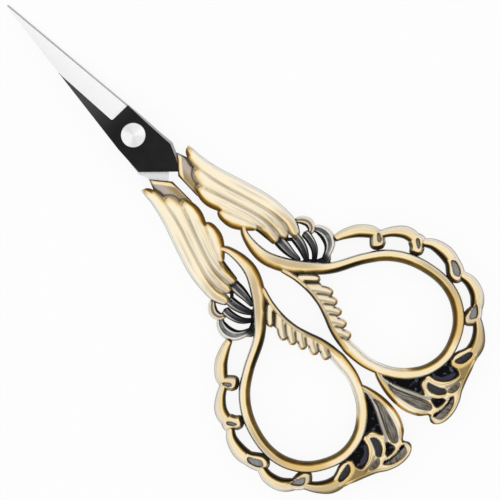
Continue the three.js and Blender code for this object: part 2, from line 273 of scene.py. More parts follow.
def mesh_of(name, shape):
    mesh = bpy.data.meshes.new(name)
    shape.to_mesh(mesh)
    shape.free()
    return mesh


def finished(name, mesh, finish, turned):
    """Turns a piece of the back half over, lifts it to the parting plane and makes it an object."""
    mesh.transform(Matrix.Rotation(math.pi, 4, "Y") if turned else Matrix.Identity(4))
    mesh.transform(Matrix.Translation((0, 0, PARTING_HEIGHT)))
    mesh.materials.append(finish)
    return add_object(name, mesh)


def line_between(x0, y0, x1, y1):
    return lambda y: x0 + (x1 - x0) * (y - y0) / (y1 - y0)


spine_at = line_between(-SPINE_AT_PIVOT, 0, TIP_OFFSET - TIP_WIDTH / 2, BLADE_REACH)
edge_at = line_between(EDGE_AT_PIVOT, 0, TIP_OFFSET + TIP_WIDTH / 2, BLADE_REACH)
grind_from = line_between(edge_at(PLUNGE) - GRIND_WIDTH, PLUNGE, spine_at(GRIND_END), GRIND_END)


def ground_height(x, y):
    """Height of the ground face over the parting plane, a little hollow between its two borders."""
    share = (x - grind_from(y)) / (edge_at(y) - HONED_WIDTH - grind_from(y))
    share = min(max(share, 0.0), 1.0)
    flat = BLADE_OUTER + (BLADE_INNER + EDGE_THICKNESS - BLADE_OUTER) * share
    return flat - GRIND_HOLLOW * math.sin(math.pi * share)


def ground_left(y):
    """Left border of the ground face: rounded at the plunge line, then straight, then the spine itself."""
    start = max(grind_from(y), spine_at(y))
    rise = (y - PLUNGE) / PLUNGE_CORNER
    if rise < 1:
        start += PLUNGE_CORNER * (1 - math.sqrt(1 - (1 - rise) ** 2))
    return start


def make_blade(name, turned):
    shape = bmesh.new()
    coat_layer = shape.faces.layers.float.new("coat")

    def face(points, coated):
        made = shape.faces.new([shape.verts.new(point) for point in points])
        made[coat_layer] = coated
        made.smooth = False

    # the ground face and the honed edge, row by row from the plunge line to the tip
    rows = [PLUNGE + PLUNGE_CORNER * share for share in (0, 0.1, 0.25, 0.5, 0.75, 1)]
    rows += [y * MM for y in np.linspace(7, 19, 9)] + [GRIND_END]
    rows += [y * MM for y in np.linspace(23, 38, 9)] + [BLADE_REACH]
    columns = 14
    grid = []
    for y in rows:
        left = ground_left(y)
        right = max(edge_at(y) - HONED_WIDTH, left + LEAST_WIDTH)
        line = [(left + (right - left) * c / columns, y) for c in range(columns + 1)]
        line = [(x, y, ground_height(x, y)) for x, y in line]
        grid.append(line + [(max(edge_at(y), right + LEAST_WIDTH), y, BLADE_INNER + EDGE_FLAT)])
    for low, high in zip(grid, grid[1:]):
        for c in range(columns + 1):
            face([low[c], low[c + 1], high[c + 1], high[c]], BARE if c < columns else HONED)

    # the black face, its border along the grinding, and the step down to the ground face
    first = grid[0]
    border = [(first[-1][0], PLUNGE)] + [(x, y) for x, y, _ in first[-2::-1]]
    border += [(row[0][0], row[0][1]) for row, y in zip(grid[1:], rows[1:]) if y <= GRIND_END]
    heights = [first[-1][2]] + [point[2] for point in first[-2::-1]]
    heights += [row[0][2] for row, y in zip(grid[1:], rows[1:]) if y <= GRIND_END]
    around = [(-SPINE_AT_PIVOT, 0), (-SHOULDER[0], SHOULDER[1]), BASE_INNER, BASE_CHAMFER]
    around = [(x, y, BLADE_OUTER) for x, y in around]
    # the side that leads to the cutting edge was chamfered after coating, so its chamfer is bare
    chamfer_top = [
        around[-1], (EDGE_SHOULDER[0] - CHAMFER_AT_SHOULDER, EDGE_SHOULDER[1], BLADE_OUTER),
        (EDGE_AT_PIVOT - CHAMFER_AT_PIVOT, 0, BLADE_OUTER), (*border[0], BLADE_OUTER),
    ]
    chamfer_foot = [
        (*BASE_OUTER, BLADE_OUTER - CHAMFER_AT_SHOULDER), (*EDGE_SHOULDER, BLADE_OUTER - CHAMFER_AT_SHOULDER),
        (EDGE_AT_PIVOT, 0, BLADE_OUTER - CHAMFER_AT_PIVOT), (*border[0], BLADE_OUTER),
    ]
    for index in range(3):
        corners = [chamfer_top[index], chamfer_foot[index], chamfer_foot[index + 1], chamfer_top[index + 1]]
        face([point for i, point in enumerate(corners) if point not in corners[:i]], HONED)
    face([(x, y, BLADE_OUTER) for x, y in border] + around + chamfer_top[1:-1], COATED)
    for (a, za), (b, zb) in zip(zip(border, heights), zip(border[1:], heights[1:])):
        if BLADE_OUTER - min(za, zb) > HAIR:
            face([(*b, BLADE_OUTER), (*b, zb), (*a, za), (*a, BLADE_OUTER)], COATED)

    # the sides and the inner face
    spine = [row[0] for row, y in zip(grid, rows) if y >= GRIND_END][::-1]
    coated_part = spine + around + chamfer_foot[:-1]
    outline = coated_part + chamfer_foot[-1:] + [row[-1] for row in grid] + grid[-1][-2:0:-1]
    for index, a in enumerate(outline):
        b = outline[(index + 1) % len(outline)]
        black = max(a[1], b[1]) < GRIND_END + HAIR and a[2] > BLADE_OUTER / 2 and index < len(coated_part)
        face([(*a[:2], BLADE_INNER), (*b[:2], BLADE_INNER), b, a], COATED if black else BARE)
    face([(x, y, BLADE_INNER) for x, y, _ in outline[::-1]], LAPPED)

    bmesh.ops.remove_doubles(shape, verts=shape.verts, dist=0.002 * MM)
    bmesh.ops.dissolve_degenerate(shape, edges=shape.edges, dist=0.001 * MM)
    sharp = [
        edge for edge in shape.edges
        if len(edge.link_faces) == 2 and edge.calc_face_angle() > 0.7
        and all(v.co.z > BLADE_OUTER - HAIR for v in edge.verts)
        and min(f.normal.z for f in edge.link_faces) < 0.3
        and all(v.co.y < PLUNGE - 0.1 * MM or v.co.x < spine_at(v.co.y) + 0.1 * MM for v in edge.verts)
    ]
    bmesh.ops.bevel(shape, geom=sharp, offset=EDGE_BREAK, segments=2, affect="EDGES", profile=0.6)
    bmesh.ops.triangulate(shape, faces=[f for f in shape.faces if len(f.verts) > 4])
    bmesh.ops.recalc_face_normals(shape, faces=shape.faces)
    return finished(name, mesh_of(name, shape), blade_steel, turned)


front_blade = make_blade("front_blade_finished", False)
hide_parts("front_blade")
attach(front_blade, "front_half")
back_blade = make_blade("back_blade_finished", True)
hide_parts("back_blade")
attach(back_blade, "back_half")


# Rivet
# A two-piece steel rivet: a pin with a plain round head, pressed into a tube with the same head on the back.
# The heads are turned, so their faces carry fine rings round the axis.
HEAD_RADIUS = 2.65 * MM
HEAD_SEAT = 1.8 * MM
HEAD_TOP = 2.3 * MM
HEAD_CROWN = 0.08 * MM
HEAD_CHAMFER = 0.2 * MM
SHANK_RADIUS = 1.8 * MM
PIN_FOOT = 1.2 * MM
TUBE_FOOT = -1.15 * MM
RINGS_PER_METRE = 9000
SHARP_ON_HEAD = math.radians(40)

rivet_steel, rivet_start, rivet_shader = new_finish("rivet_steel")
rivet_place = rivet_start.node("ShaderNodeTexCoord", output="Object")
flat_place = rivet_place.vector("MULTIPLY", (1, 1, 0))
from_axis = rivet_start.node("ShaderNodeVectorMath", {"operation": "LENGTH"}, {0: flat_place}, output="Value")
rings = rivet_start.node(
    "ShaderNodeTexNoise", {"noise_dimensions": "1D"}, {"W": from_axis * RINGS_PER_METRE, "Detail": 2.0}
)
bearing = rivet_place.part("Y").math("ARCTAN2", rivet_place.part("X"))
# a painted fan of highlights round the axis, mixed with the turned rings
painted_fan_highlight = (bearing * 2 + 0.7).math("COSINE") * 0.3 + (bearing * 5 + 2.0).math("COSINE") * 0.12 + 0.62
feed(
    rivet_shader,
    Base_Color=(painted_fan_highlight * 0.65 + rings.smooth(0.3, 0.7) * 0.35).mix((0.56, 0.56, 0.57), (0.98, 0.98, 0.985)),
    Roughness=0.22 + rings * 0.12,
    Normal=rings.bump(0.25, 0.01 * MM),
)
rivet_shader.inputs["Metallic"].default_value = 1.0


def make_head(name, turned, foot):
    """One half of the rivet: its crowned head, and its shank down to the height given as its foot."""
    profile = [(0, foot), (SHANK_RADIUS, foot), (SHANK_RADIUS, HEAD_SEAT), (HEAD_RADIUS, HEAD_SEAT)]
    for share in (0, 0.25, 0.5, 0.75, 1):
        angle = share * math.pi / 2
        profile.append((
            HEAD_RADIUS - HEAD_CHAMFER * (1 - math.cos(angle)),
            HEAD_TOP - HEAD_CROWN - HEAD_CHAMFER * (1 - math.sin(angle)),
        ))
    flat = HEAD_RADIUS - HEAD_CHAMFER
    for share in (0.8, 0.6, 0.4, 0.2, 0):
        profile.append((flat * share, HEAD_TOP - HEAD_CROWN * share ** 2))
    shape = bmesh.new()
    points = [shape.verts.new((radius, 0, height)) for radius, height in profile]
    edges = [shape.edges.new(pair) for pair in zip(points, points[1:])]
    bmesh.ops.spin(shape, geom=points + edges, cent=(0, 0, 0), axis=(0, 0, 1), angle=2 * math.pi, steps=96)
    bmesh.ops.remove_doubles(shape, verts=shape.verts, dist=0.001 * MM)
    bmesh.ops.recalc_face_normals(shape, faces=shape.faces)
    mesh = mesh_of(name, shape)
    mesh.shade_smooth()
    mesh.set_sharp_from_angle(angle=SHARP_ON_HEAD)
    return finished(name, mesh, rivet_steel, turned)


rivet_head = make_head("rivet_pin_finished", False, PIN_FOOT)
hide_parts("rivet_pin")
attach(rivet_head, "back_half")
rivet_tail = make_head("rivet_tube_finished", True, TUBE_FOOT)
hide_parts("rivet_tube")
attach(rivet_tail, "back_half")


# Bows
# Each bow is one zinc casting plated in antique brass, painted pale outside as painted light and brown to
# black inside as painted shade.
# Wing, finger ring, rope twist, petals, scalloped rim and foot are rounded strands that run together.
# Its collar is cast round the base of the blade.
antique_brass, brass_start, brass_shader = new_finish("antique_brass")


def painted(name):
    return brass_start.node("ShaderNodeAttribute", {"attribute_name": name}, output="Fac")


brass_place = brass_start.node("ShaderNodeTexCoord", output="Object")
turn, relief, sunk, tone = painted("turn"), painted("relief"), painted("sunk"), painted("tone")
pale, gunmetal, wear, valley = painted("pale"), painted("gunmetal"), painted("wear"), painted("valley")
drift = painted("drift").smooth(0.05, 0.5)
blotch = brass_place.noise(520.0, 4.0)
grain = brass_place.noise(4600.0, 2.0)
glint = brass_place.noise(900.0, 2.0)
x_from_axis = abs(brass_place.part("X"))
y_along = brass_place.part("Y")
across_leaf = (x_from_axis * 0.91 + y_along * 0.41) * 2600
along_leaf = (x_from_axis * 0.41 - y_along * 0.91) * 420
leaf_lines = brass_start.node("ShaderNodeCombineXYZ", {}, {"X": across_leaf, "Y": along_leaf}).noise(1.0, 3.0)
# painted light and shade, from the pale outer sides, through the faces at 0.5, to the black inner sides
painted_side_shade = (turn + (blotch - 0.5) * 0.16) * 0.5 + 0.5
brass_painted_light_and_shade = painted_side_shade.ramp(
    (0.0, 0.55, 0.54, 0.51), (0.07, 0.74, 0.72, 0.66), (0.14, 0.97, 0.92, 0.8), (0.3, 0.93, 0.84, 0.64),
    (0.44, 0.89, 0.75, 0.5), (0.5, 0.89, 0.74, 0.475), (0.56, 0.96, 0.79, 0.47), (0.62, 0.66, 0.46, 0.17),
    (0.68, 0.27, 0.165, 0.035), (0.75, 0.08, 0.048, 0.01), (0.84, 0.012, 0.008, 0.004),
)
cream_painted_light_and_shade = painted_side_shade.ramp(
    (0.0, 0.36, 0.35, 0.33), (0.07, 0.6, 0.58, 0.54), (0.14, 1.0, 0.98, 0.9), (0.3, 0.99, 0.93, 0.78),
    (0.44, 0.94, 0.845, 0.65), (0.5, 0.94, 0.84, 0.635), (0.56, 0.98, 0.85, 0.57), (0.62, 0.76, 0.55, 0.23),
    (0.68, 0.38, 0.235, 0.055), (0.75, 0.13, 0.078, 0.017), (0.84, 0.012, 0.008, 0.004),
)
dull_brass_painted_shade = painted_side_shade.smooth(0.3, 0.76).mix((0.33, 0.25, 0.11), (0.05, 0.032, 0.012))
on_face = painted_side_shade.smooth(0.58, 0.5)
tan_share = tone * on_face * painted_side_shade.smooth(0.24, 0.4)
# painted shade spread from the inner sides onto the faces beside them, together with amber tints
amber = drift.mix((1, 1, 1), (0.82, 0.68, 0.42))
patina_and_painted_shade_black = (0.03, 0.023, 0.018)
brass_surface = ((1 - wear) * on_face).mix(brass_painted_light_and_shade.vector("MULTIPLY", amber), dull_brass_painted_shade)
brass_surface = tan_share.mix(brass_surface, (0.58, 0.455, 0.27))
brass_surface = (relief.smooth(-0.06, -0.3) * 0.5).mix(brass_surface, (0.16, 0.125, 0.085))
# grooves are darkened with patina, and the lines of painted shade in the same way
brass_surface = valley.mix(brass_surface, patina_and_painted_shade_black)
cream_surface = (tan_share * 0.75).mix(cream_painted_light_and_shade.vector("MULTIPLY", amber), (0.53, 0.38, 0.2))
cream_surface = (valley * 0.85).mix(cream_surface, (0.36, 0.315, 0.265))
petal_rim_painted_shade = painted_side_shade.ramp(
    (0.3, 0.8, 0.775, 0.7), (0.56, 0.76, 0.72, 0.62), (0.66, 0.13, 0.12, 0.11), (0.74, 0.006, 0.006, 0.007),
)
petal_face = blotch.smooth(0.35, 0.7).mix((0.06, 0.07, 0.09), (0.24, 0.265, 0.29))
# where the tone of the petals and the web is low they are painted black, as painted shade
petal_surface = tone.mix((0.012, 0.013, 0.016), sunk.mix(petal_rim_painted_shade, petal_face))
land = gunmetal.mix(pale.mix(brass_surface, cream_surface), petal_surface)
# sunk panels take their colour from their tone, and are black at their borders
pit_tone = tone + (leaf_lines.smooth(0.36, 0.64) - 0.5) * tone.smooth(0.84, 0.6) * tone * 0.45
pit = pit_tone.ramp(
    (0.0, 0.002, 0.002, 0.003), (0.14, 0.055, 0.055, 0.085), (0.28, 0.036, 0.042, 0.043),
    (0.4, 0.085, 0.075, 0.065), (0.6, 0.26, 0.24, 0.205), (0.78, 0.3, 0.305, 0.305),
    (0.9, 0.56, 0.47, 0.41), (1.0, 0.37, 0.26, 0.105),
)
# painted bluish glints in the black pits
pit = (glint.smooth(0.55, 0.7) * tone.smooth(0.1, 0.02) * 0.9).mix(pit, (0.09, 0.115, 0.15))
pit = (sunk * (1 - sunk) * tone.smooth(0.86, 0.8) * 3.4).mix(pit, (0.012, 0.009, 0.007))
pit = valley.mix(pit, patina_and_painted_shade_black)
in_pit = sunk * (1 - gunmetal)
feed(
    brass_shader,
    Base_Color=in_pit.mix(land, pit),
    # the sides in painted shade also lose their metal, so that they stay dark
    Metallic=1 - in_pit.math("MAXIMUM", painted_side_shade.smooth(0.62, 0.76)).math("MAXIMUM", valley) * 0.97,
    Roughness=0.3 + blotch * 0.12 + in_pit * 0.15,
    Normal=(grain + leaf_lines * in_pit * tone * 2).bump(0.14, 0.02 * MM),
)
brass_shader.inputs["Specular IOR Level"].default_value = 0.06


def strand_tree():
    """Nodes that sweep a rounded section along each path, whose points give its width."""
    tree = bpy.data.node_groups.new("cast_strands", "GeometryNodeTree")
    tree.interface.new_socket("Paths", in_out="INPUT", socket_type="NodeSocketGeometry")
    for name in (
        "Height", "Step", "Nose", "Inner Fullness", "Outer Fullness", "Top Fullness", "Panel", "Panel Depth",
    ):
        tree.interface.new_socket(name, in_out="INPUT", socket_type="NodeSocketFloat")
    tree.interface.new_socket("Sides", in_out="INPUT", socket_type="NodeSocketInt")
    tree.interface.new_socket("Finish", in_out="INPUT", socket_type="NodeSocketMaterial")
    tree.interface.new_socket("Strands", in_out="OUTPUT", socket_type="NodeSocketGeometry")
    entry = tree.nodes.new("NodeGroupInput")
    here = Field(tree)

    def given(name):
        return Field(tree, entry.outputs[name])

    def stored(geometry, name, kind, value):
        sockets = {"Geometry": geometry, "Name": name, "Value": value}
        return here.node("GeometryNodeStoreNamedAttribute", {"data_type": kind, "domain": "POINT"}, sockets)

    def recalled(name, kind):
        return here.node("GeometryNodeInputNamedAttribute", {"data_type": kind}, {"Name": name})

    paths = here.node("GeometryNodeMeshToCurve", {}, {"Mesh": given("Paths")})
    paths = here.node("GeometryNodeCurveSplineType", {"spline_type": "CATMULL_ROM"}, {"Curve": paths})
    paths = here.node("GeometryNodeSetSplineResolution", {}, {"Geometry": paths, "Resolution": 16})
    spacing = {"Curve": paths, "Length": given("Step")}
    paths = here.node("GeometryNodeResampleCurve", {"mode": "LENGTH"}, spacing)
    run = here.node("GeometryNodeSplineParameter", output="Length")
    whole = here.node("GeometryNodeSplineLength", output="Length")
    to_nose = (1 - run.math("MINIMUM", whole - run) / given("Nose")).math("MAXIMUM", 0.0)
    paths = stored(paths, "rounding", "FLOAT", (1.0004 - to_nose * to_nose).math("SQRT"))
    paths = stored(paths, "centre", "FLOAT_VECTOR", here.node("GeometryNodeInputPosition"))
    paths = stored(paths, "along", "FLOAT_VECTOR", here.node("GeometryNodeInputTangent"))
    circle = {"Resolution": given("Sides"), "Radius": 1.0}
    section = here.node("GeometryNodeCurvePrimitiveCircle", {"mode": "RADIUS"}, circle)
    section = stored(section, "section", "FLOAT_VECTOR", here.node("GeometryNodeInputPosition"))
    sweep = {"Curve": paths, "Profile Curve": section, "Fill Caps": True}
    swept = here.node("GeometryNodeCurveToMesh", {}, sweep)

    around = recalled("section", "FLOAT_VECTOR")
    cosine, sine = around.part("X"), around.part("Y")
    outer = cosine.math("GREATER_THAN", 0.0)
    fullness = given("Inner Fullness") * (1 - outer) + given("Outer Fullness") * outer
    across = cosine.math("SIGN") * abs(cosine) ** fullness
    rise = abs(sine) ** given("Top Fullness")
    rounding = recalled("rounding", "FLOAT")
    panel = abs(across).smooth(given("Panel") + 0.12, given("Panel") - 0.12) * rise.smooth(0.45, 0.8)
    height = rise * rounding * given("Height") * 0.5 - panel * given("Panel Depth")
    lift = here.node("ShaderNodeCombineXYZ", {}, {"Z": sine.math("SIGN") * height})
    axes = {0: (0, 0, 1), 1: recalled("along", "FLOAT_VECTOR")}
    side = here.node("ShaderNodeVectorMath", {"operation": "CROSS_PRODUCT"}, axes)
    side = here.node("ShaderNodeVectorMath", {"operation": "NORMALIZE"}, {0: side})
    side = side.times(across * rounding * recalled("width", "FLOAT") * 0.5)
    place = recalled("centre", "FLOAT_VECTOR").vector("ADD", side).vector("ADD", lift)
    swept = here.node("GeometryNodeSetPosition", {}, {"Geometry": swept, "Position": place})
    swept = stored(swept, "sunk", "FLOAT", panel)
    swept = here.node("GeometryNodeRealizeInstances", {}, {"Geometry": swept})
    swept = here.node("GeometryNodeSetMaterial", {}, {"Geometry": swept, "Material": given("Finish")})
    leave = tree.nodes.new("NodeGroupOutput")
    tree.links.new(swept.socket, leave.inputs["Strands"])
    return tree


cast_strands = strand_tree()
castings = []


def add_to_casting(made, sunk, dark, pale, gunmetal):
    """Keeps a mesh for the joined casting, facing outwards, with the finish of its points."""
    shape = bmesh.new()
    shape.from_mesh(made)
    if shape.calc_volume(signed=True) < 0:
        made.flip_normals()
    shape.free()
    count = len(made.vertices)
    places = np.empty(count * 3)
    made.vertices.foreach_get("co", places)
    castings.append({
        "family": np.full(count, made.name.split(".")[0]),
        "places": places.reshape(-1, 3) / MM,
        "faces": [np.array(face.vertices) for face in made.polygons],
        "sunk": np.broadcast_to(sunk, count),
        "tone": np.zeros(count),
        "dark": np.full(count, dark),
        "pale": np.full(count, pale),
        "gunmetal": np.full(count, gunmetal),
    })
    bpy.data.meshes.remove(made)


def cast(
    name, *lines, dark=0.75, pale=0.0, gunmetal=0.0, height=3.9, step=0.25, nose=0.6, sides=44,
    fullness=(0.75, 0.75, 0.65), panel=-1.0, panel_depth=0.0,
):
    """Sweeps lines of [x, y, width] stations, in millimetres, and adds the strands to the casting."""
    points, widths, edges = [], [], []
    for line in lines:
        for index, (x, y, width) in enumerate(line):
            if index:
                edges.append((len(points) - 1, len(points)))
            points.append((x * MM, y * MM, 0))
            widths.append(width * MM)
    mesh = bpy.data.meshes.new(name)
    mesh.from_pydata(points, edges, [])
    mesh.attributes.new("width", "FLOAT", "POINT").data.foreach_set("value", widths)
    holder = add_object(name, mesh)
    modifier = holder.modifiers.new("strands", "NODES")
    modifier.node_group = cast_strands
    values = {
        "Height": height * MM, "Step": step * MM, "Nose": nose * MM, "Sides": sides, "Finish": antique_brass,
        "Inner Fullness": fullness[0], "Outer Fullness": fullness[1], "Top Fullness": fullness[2],
        "Panel": panel, "Panel Depth": panel_depth * MM,
    }
    for item in cast_strands.interface.items_tree:
        if item.name in values:
            modifier[item.identifier] = values[item.name]
    graph = bpy.context.evaluated_depsgraph_get()
    made = bpy.data.meshes.new_from_object(holder.evaluated_get(graph), depsgraph=graph)
    bpy.data.objects.remove(holder)
    bpy.data.meshes.remove(mesh)
    made.name = name
    sunk = np.zeros(len(made.vertices))
    made.attributes["sunk"].data.foreach_get("value", sunk)
    add_to_casting(made, sunk, dark, pale, gunmetal)


def rounded(outline, closed=True, steps=8):
    """A line without corners through the points given; a closed one comes back to its start."""
    points = np.array(outline, float)
    before, after, beyond = np.roll(points, 1, 0), np.roll(points, -1, 0), np.roll(points, -2, 0)
    if not closed:
        before[0], after[-1], beyond[-2:] = points[0], points[-1], points[-1]
    curve = []
    for t in np.arange(steps) / steps:
        curve.append(0.5 * (
            2 * points + (after - before) * t + (2 * before - 5 * points + 4 * after - beyond) * t ** 2
            + (3 * points - before - 3 * after + beyond) * t ** 3
        ))
    curve = np.stack(curve, 1).reshape(-1, 2)
    return curve if closed else curve[:1 - steps]


def distance_to(places, starts, ends):
    """Distance from each point to the nearest of the straight pieces given."""
    nearest = np.full(len(places), 1e9)
    for a, b in zip(starts, ends):
        along = b - a
        share = np.clip(((places - a) @ along) / max(along @ along, 1e-12), 0, 1)
        nearest = np.minimum(nearest, np.linalg.norm(places - a - share[:, None] * along, axis=1))
    return nearest


def inside_depth(places, outline):
    """How far each point lies inside a closed outline; outside, the distance is below zero."""
    starts, ends = outline, np.roll(outline, -1, 0)
    inside = np.zeros(len(places), bool)
    for a, b in zip(starts, ends):
        if a[1] != b[1]:
            crosses = (a[1] > places[:, 1]) != (b[1] > places[:, 1])
            inside ^= crosses & (places[:, 0] < a[0] + (places[:, 1] - a[1]) * (b[0] - a[0]) / (b[1] - a[1]))
    return np.where(inside, 1, -1) * distance_to(places, starts, ends)


def eased(values, low, high):
    share = np.clip((values - low) / (high - low), 0, 1)
    return share * share * (3 - 2 * share)


LEAST_SHARE = 0.0002


def cast_plate(name, outline, height, edge, grid=0.28, swell=2.5, dark=0.75, pale=0.0, gunmetal=0.0):
    """A plate on the parting plane, rounded at its edge, with the outline and sizes given in millimetres."""
    outline = np.array(outline, float)
    shape = bmesh.new()
    face = shape.faces.new([shape.verts.new((x, y, 0)) for x, y in outline])
    shape.normal_update()
    bmesh.ops.inset_region(shape, faces=[face], thickness=0.1, use_even_offset=True, use_boundary=True)
    parts = [face] + list(face.edges) + list(face.verts)
    for axis, normal in enumerate((Vector((1, 0, 0)), Vector((0, 1, 0)))):
        for cut in np.arange(outline[:, axis].min() + grid, outline[:, axis].max(), grid):
            parts = bmesh.ops.bisect_plane(shape, geom=parts, plane_co=normal * cut, plane_no=normal)["geom"]
    shape.verts.ensure_lookup_table()
    depth = np.clip(inside_depth(np.array([v.co[:2] for v in shape.verts]), outline), 0, edge) / edge
    for vertex, share in zip(shape.verts, depth):
        share = 0 if vertex.is_boundary else max(share, LEAST_SHARE)
        vertex.co.z = height / 2 * (1 - (1 - share) ** swell) ** (1 / swell)
        vertex.co *= MM
    lower = bmesh.ops.duplicate(shape, geom=list(shape.verts) + list(shape.edges) + list(shape.faces))
    for part in lower["geom"]:
        if isinstance(part, bmesh.types.BMVert):
            part.co.z = -part.co.z
    lower_faces = [part for part in lower["geom"] if isinstance(part, bmesh.types.BMFace)]
    bmesh.ops.reverse_faces(shape, faces=lower_faces)
    bmesh.ops.remove_doubles(shape, verts=shape.verts, dist=0.002 * MM)
    bmesh.ops.triangulate(shape, faces=[f for f in shape.faces if len(f.verts) > 4])
    add_to_casting(mesh_of(name, shape), 0.0, dark, pale, gunmetal)


# The wing: four long feathers that lie against one another, so that only shallow valleys show between them.
cast(
    "feathers",
    [
        [6.95, -9.6, 0.6], [6.25, -11, 2.1], [6.02, -13.5, 2.86], [6.7, -18, 3.5], [8.35, -24, 4.1],
        [10.3, -30, 3.7], [11.1, -35.3, 3], [10.7, -37.8, 2.8], [9.9, -39.9, 1.8],
    ],
    [
        [4.75, -14.05, 1.3], [4.3, -15.6, 2.8], [4.5, -18, 3.7], [5.7, -23, 3.8], [7.8, -29, 3.7],
        [8.8, -34, 3.6], [8.5, -36.8, 2.7], [8, -38.6, 1.7],
    ],
    [
        [2.35, -17.1, 1.3], [2.1, -18.8, 2.5], [2.56, -21.5, 3.58], [4.4, -25.5, 3.6], [6, -30, 3.5],
        [6.6, -34, 3.1], [6.35, -36.8, 2.3], [6.3, -38, 1.4],
    ],
    [[1.9, -23.9, 1.2], [2, -25.8, 2.5], [2.8, -27.9, 3.5], [4.2, -30.4, 2.9], [5.5, -32.9, 1.1]],
    dark=0.85, pale=1.0, height=4.55, fullness=(1.15, 0.7, 0.5), nose=1.1,
)
cast_plate(
    "wing_body",
    [
        (6.3, -13), (7.2, -18), (9.2, -24), (11, -30), (11.6, -35), (10, -38), (6.4, -37), (6, -33),
        (3.4, -29), (2, -26), (3, -23), (2.2, -20), (3.4, -18), (4.2, -15.6),
    ],
    3.4, 0.8, grid=0.6, pale=1.0,
)

# The wire that leaves the wing, runs round the finger ring and passes into the rope twist.
cast(
    "ring_wire",
    [
        [3.6, -29.8, 1.2], [2.4, -31.8, 1.7], [1.85, -35.5, 2.6], [2.35, -39, 3.1], [4.6, -43.2, 3.2],
        [7.6, -46.7, 2.9], [11.15, -49.9, 2.5], [17, -52.95, 2.4], [21.5, -56.3, 2.55],
        [24.57, -61.15, 2.55], [25.97, -67.4, 2.5], [25.02, -72.87, 2.6], [21.5, -77.4, 2.5],
        [15.6, -80, 2.4], [9.8, -79.15, 2.4], [5, -75.3, 2.5], [2.3, -70, 2.6], [1.65, -65.4, 2.9],
        [1.6, -63.4, 2.6], [1.55, -61.4, 2], [1.95, -59, 1.6], [2.8, -56.6, 1.45], [3.65, -54, 1.4],
        [4, -52, 1.4], [4.15, -50, 1.4], [4.05, -47.5, 1.4], [3.75, -45.5, 1.4], [3.2, -43.6, 1.3],
        [2.7, -42.2, 1],
    ],
    dark=0.5, height=4.6, step=0.35, fullness=(1.15, 0.45, 0.65), nose=0.6,
)
# The rope twist: slanted turns that lie side by side and run into the smooth band.
cast(
    "rope_turns",
    [[3.8, -45.9, 1.6], [5.3, -47.4, 2], [6.5, -48.8, 2], [7.3, -49.9, 1.6]],
    [[4.1, -49.2, 1.8], [5.4, -51, 2.3], [6.5, -52.6, 2.3], [7, -54, 1.7]],
    [[4, -52.1, 1.8], [5, -53.6, 2.2], [5.9, -54.95, 2.2], [6.3, -56.05, 1.6]],
    [[3.4, -54.8, 1.8], [4.3, -56.1, 2.1], [5.1, -57.3, 2.1], [5.4, -58.25, 1.6]],
    [[2.6, -57.3, 1.8], [3.35, -58.5, 2.2], [4, -59.7, 2.3], [4.25, -60.85, 1.7]],
    [[1.8, -60, 1.8], [2.45, -61.1, 2.2], [3, -62.25, 2.3], [3.2, -63.3, 1.7]],
    dark=0.5, height=4.45, step=0.2, fullness=(0.8, 0.8, 0.6), nose=0.8,
)

cast_plate(
    "rope_floor",
    [
        (3.7, -45), (5, -46.4), (6.9, -48.6), (6.8, -50.5), (6.6, -53), (5.8, -55.2), (4.8, -57.3),
        (3.7, -60), (2.9, -62.4), (1.3, -62), (1.3, -60), (2.1, -57.5), (2.9, -54.8), (3.4, -52),
        (3.5, -49), (3.2, -46.5),
    ],
    4.25, 0.5, grid=0.2,
)

# The petals between the wing and the ring: darkened, with a worn rim round a sunk face.
cast(
    "petals",
    [[6.75, -37, 2.5], [6.7, -39.5, 2.5], [6.7, -41.5, 1.9], [7, -44, 0.9]],
    [[9.7, -39, 2.2], [9.55, -41, 2.3], [8.95, -43.1, 1.9], [7.8, -45.3, 0.9]],
    [[11.8, -40, 2], [11.75, -41.7, 1.9], [11.2, -43.7, 1.7], [10.2, -45.1, 1.3], [8.5, -46.4, 0.9]],
    [
        [13.6, -40.9, 1.2], [14.5, -41.9, 2.2], [14.85, -43.8, 2.9], [14.1, -45.6, 2.6], [12.6, -46.7, 1.8],
        [10.3, -47.5, 1.3],
    ],
    dark=1.0, gunmetal=1.0, height=3.6, panel=0.3, panel_depth=0.3, fullness=(1.1, 0.6, 0.5),
)
cast(
    "petal_loop",
    [[12, -36.9, 1], [13.3, -37.9, 1.9], [13.95, -39.3, 2.1], [13.5, -40.7, 1.8], [12.3, -41.1, 1.1]],
    dark=1.0, pale=1.0, gunmetal=0.6, height=3.6, panel=0.2, panel_depth=0.3, fullness=(0.75, 0.75, 0.5),
)
# a low web between the stem and the feathers' lower ends, painted black as painted shade
cast(
    "wing_web",
    [[4.3, -30.8, 0.6], [5.05, -32.8, 0.8], [5.35, -35, 0.8], [5.6, -37.6, 0.7]],
    [[7.1, -37.9, 0.6], [8.2, -38.7, 0.8], [9.2, -39.7, 0.8], [10.2, -40.2, 0.6]],
    gunmetal=1.0, height=3.2,
)
cast_plate(
    "petal_base",
    rounded([
        (7.2, -44.2), (8.6, -44.9), (9.6, -46), (11.4, -46.7), (13, -46.6), (12.4, -47.9), (10.8, -48.6),
        (8.4, -46.8),
    ]),
    2.6, 0.5, gunmetal=1.0,
)

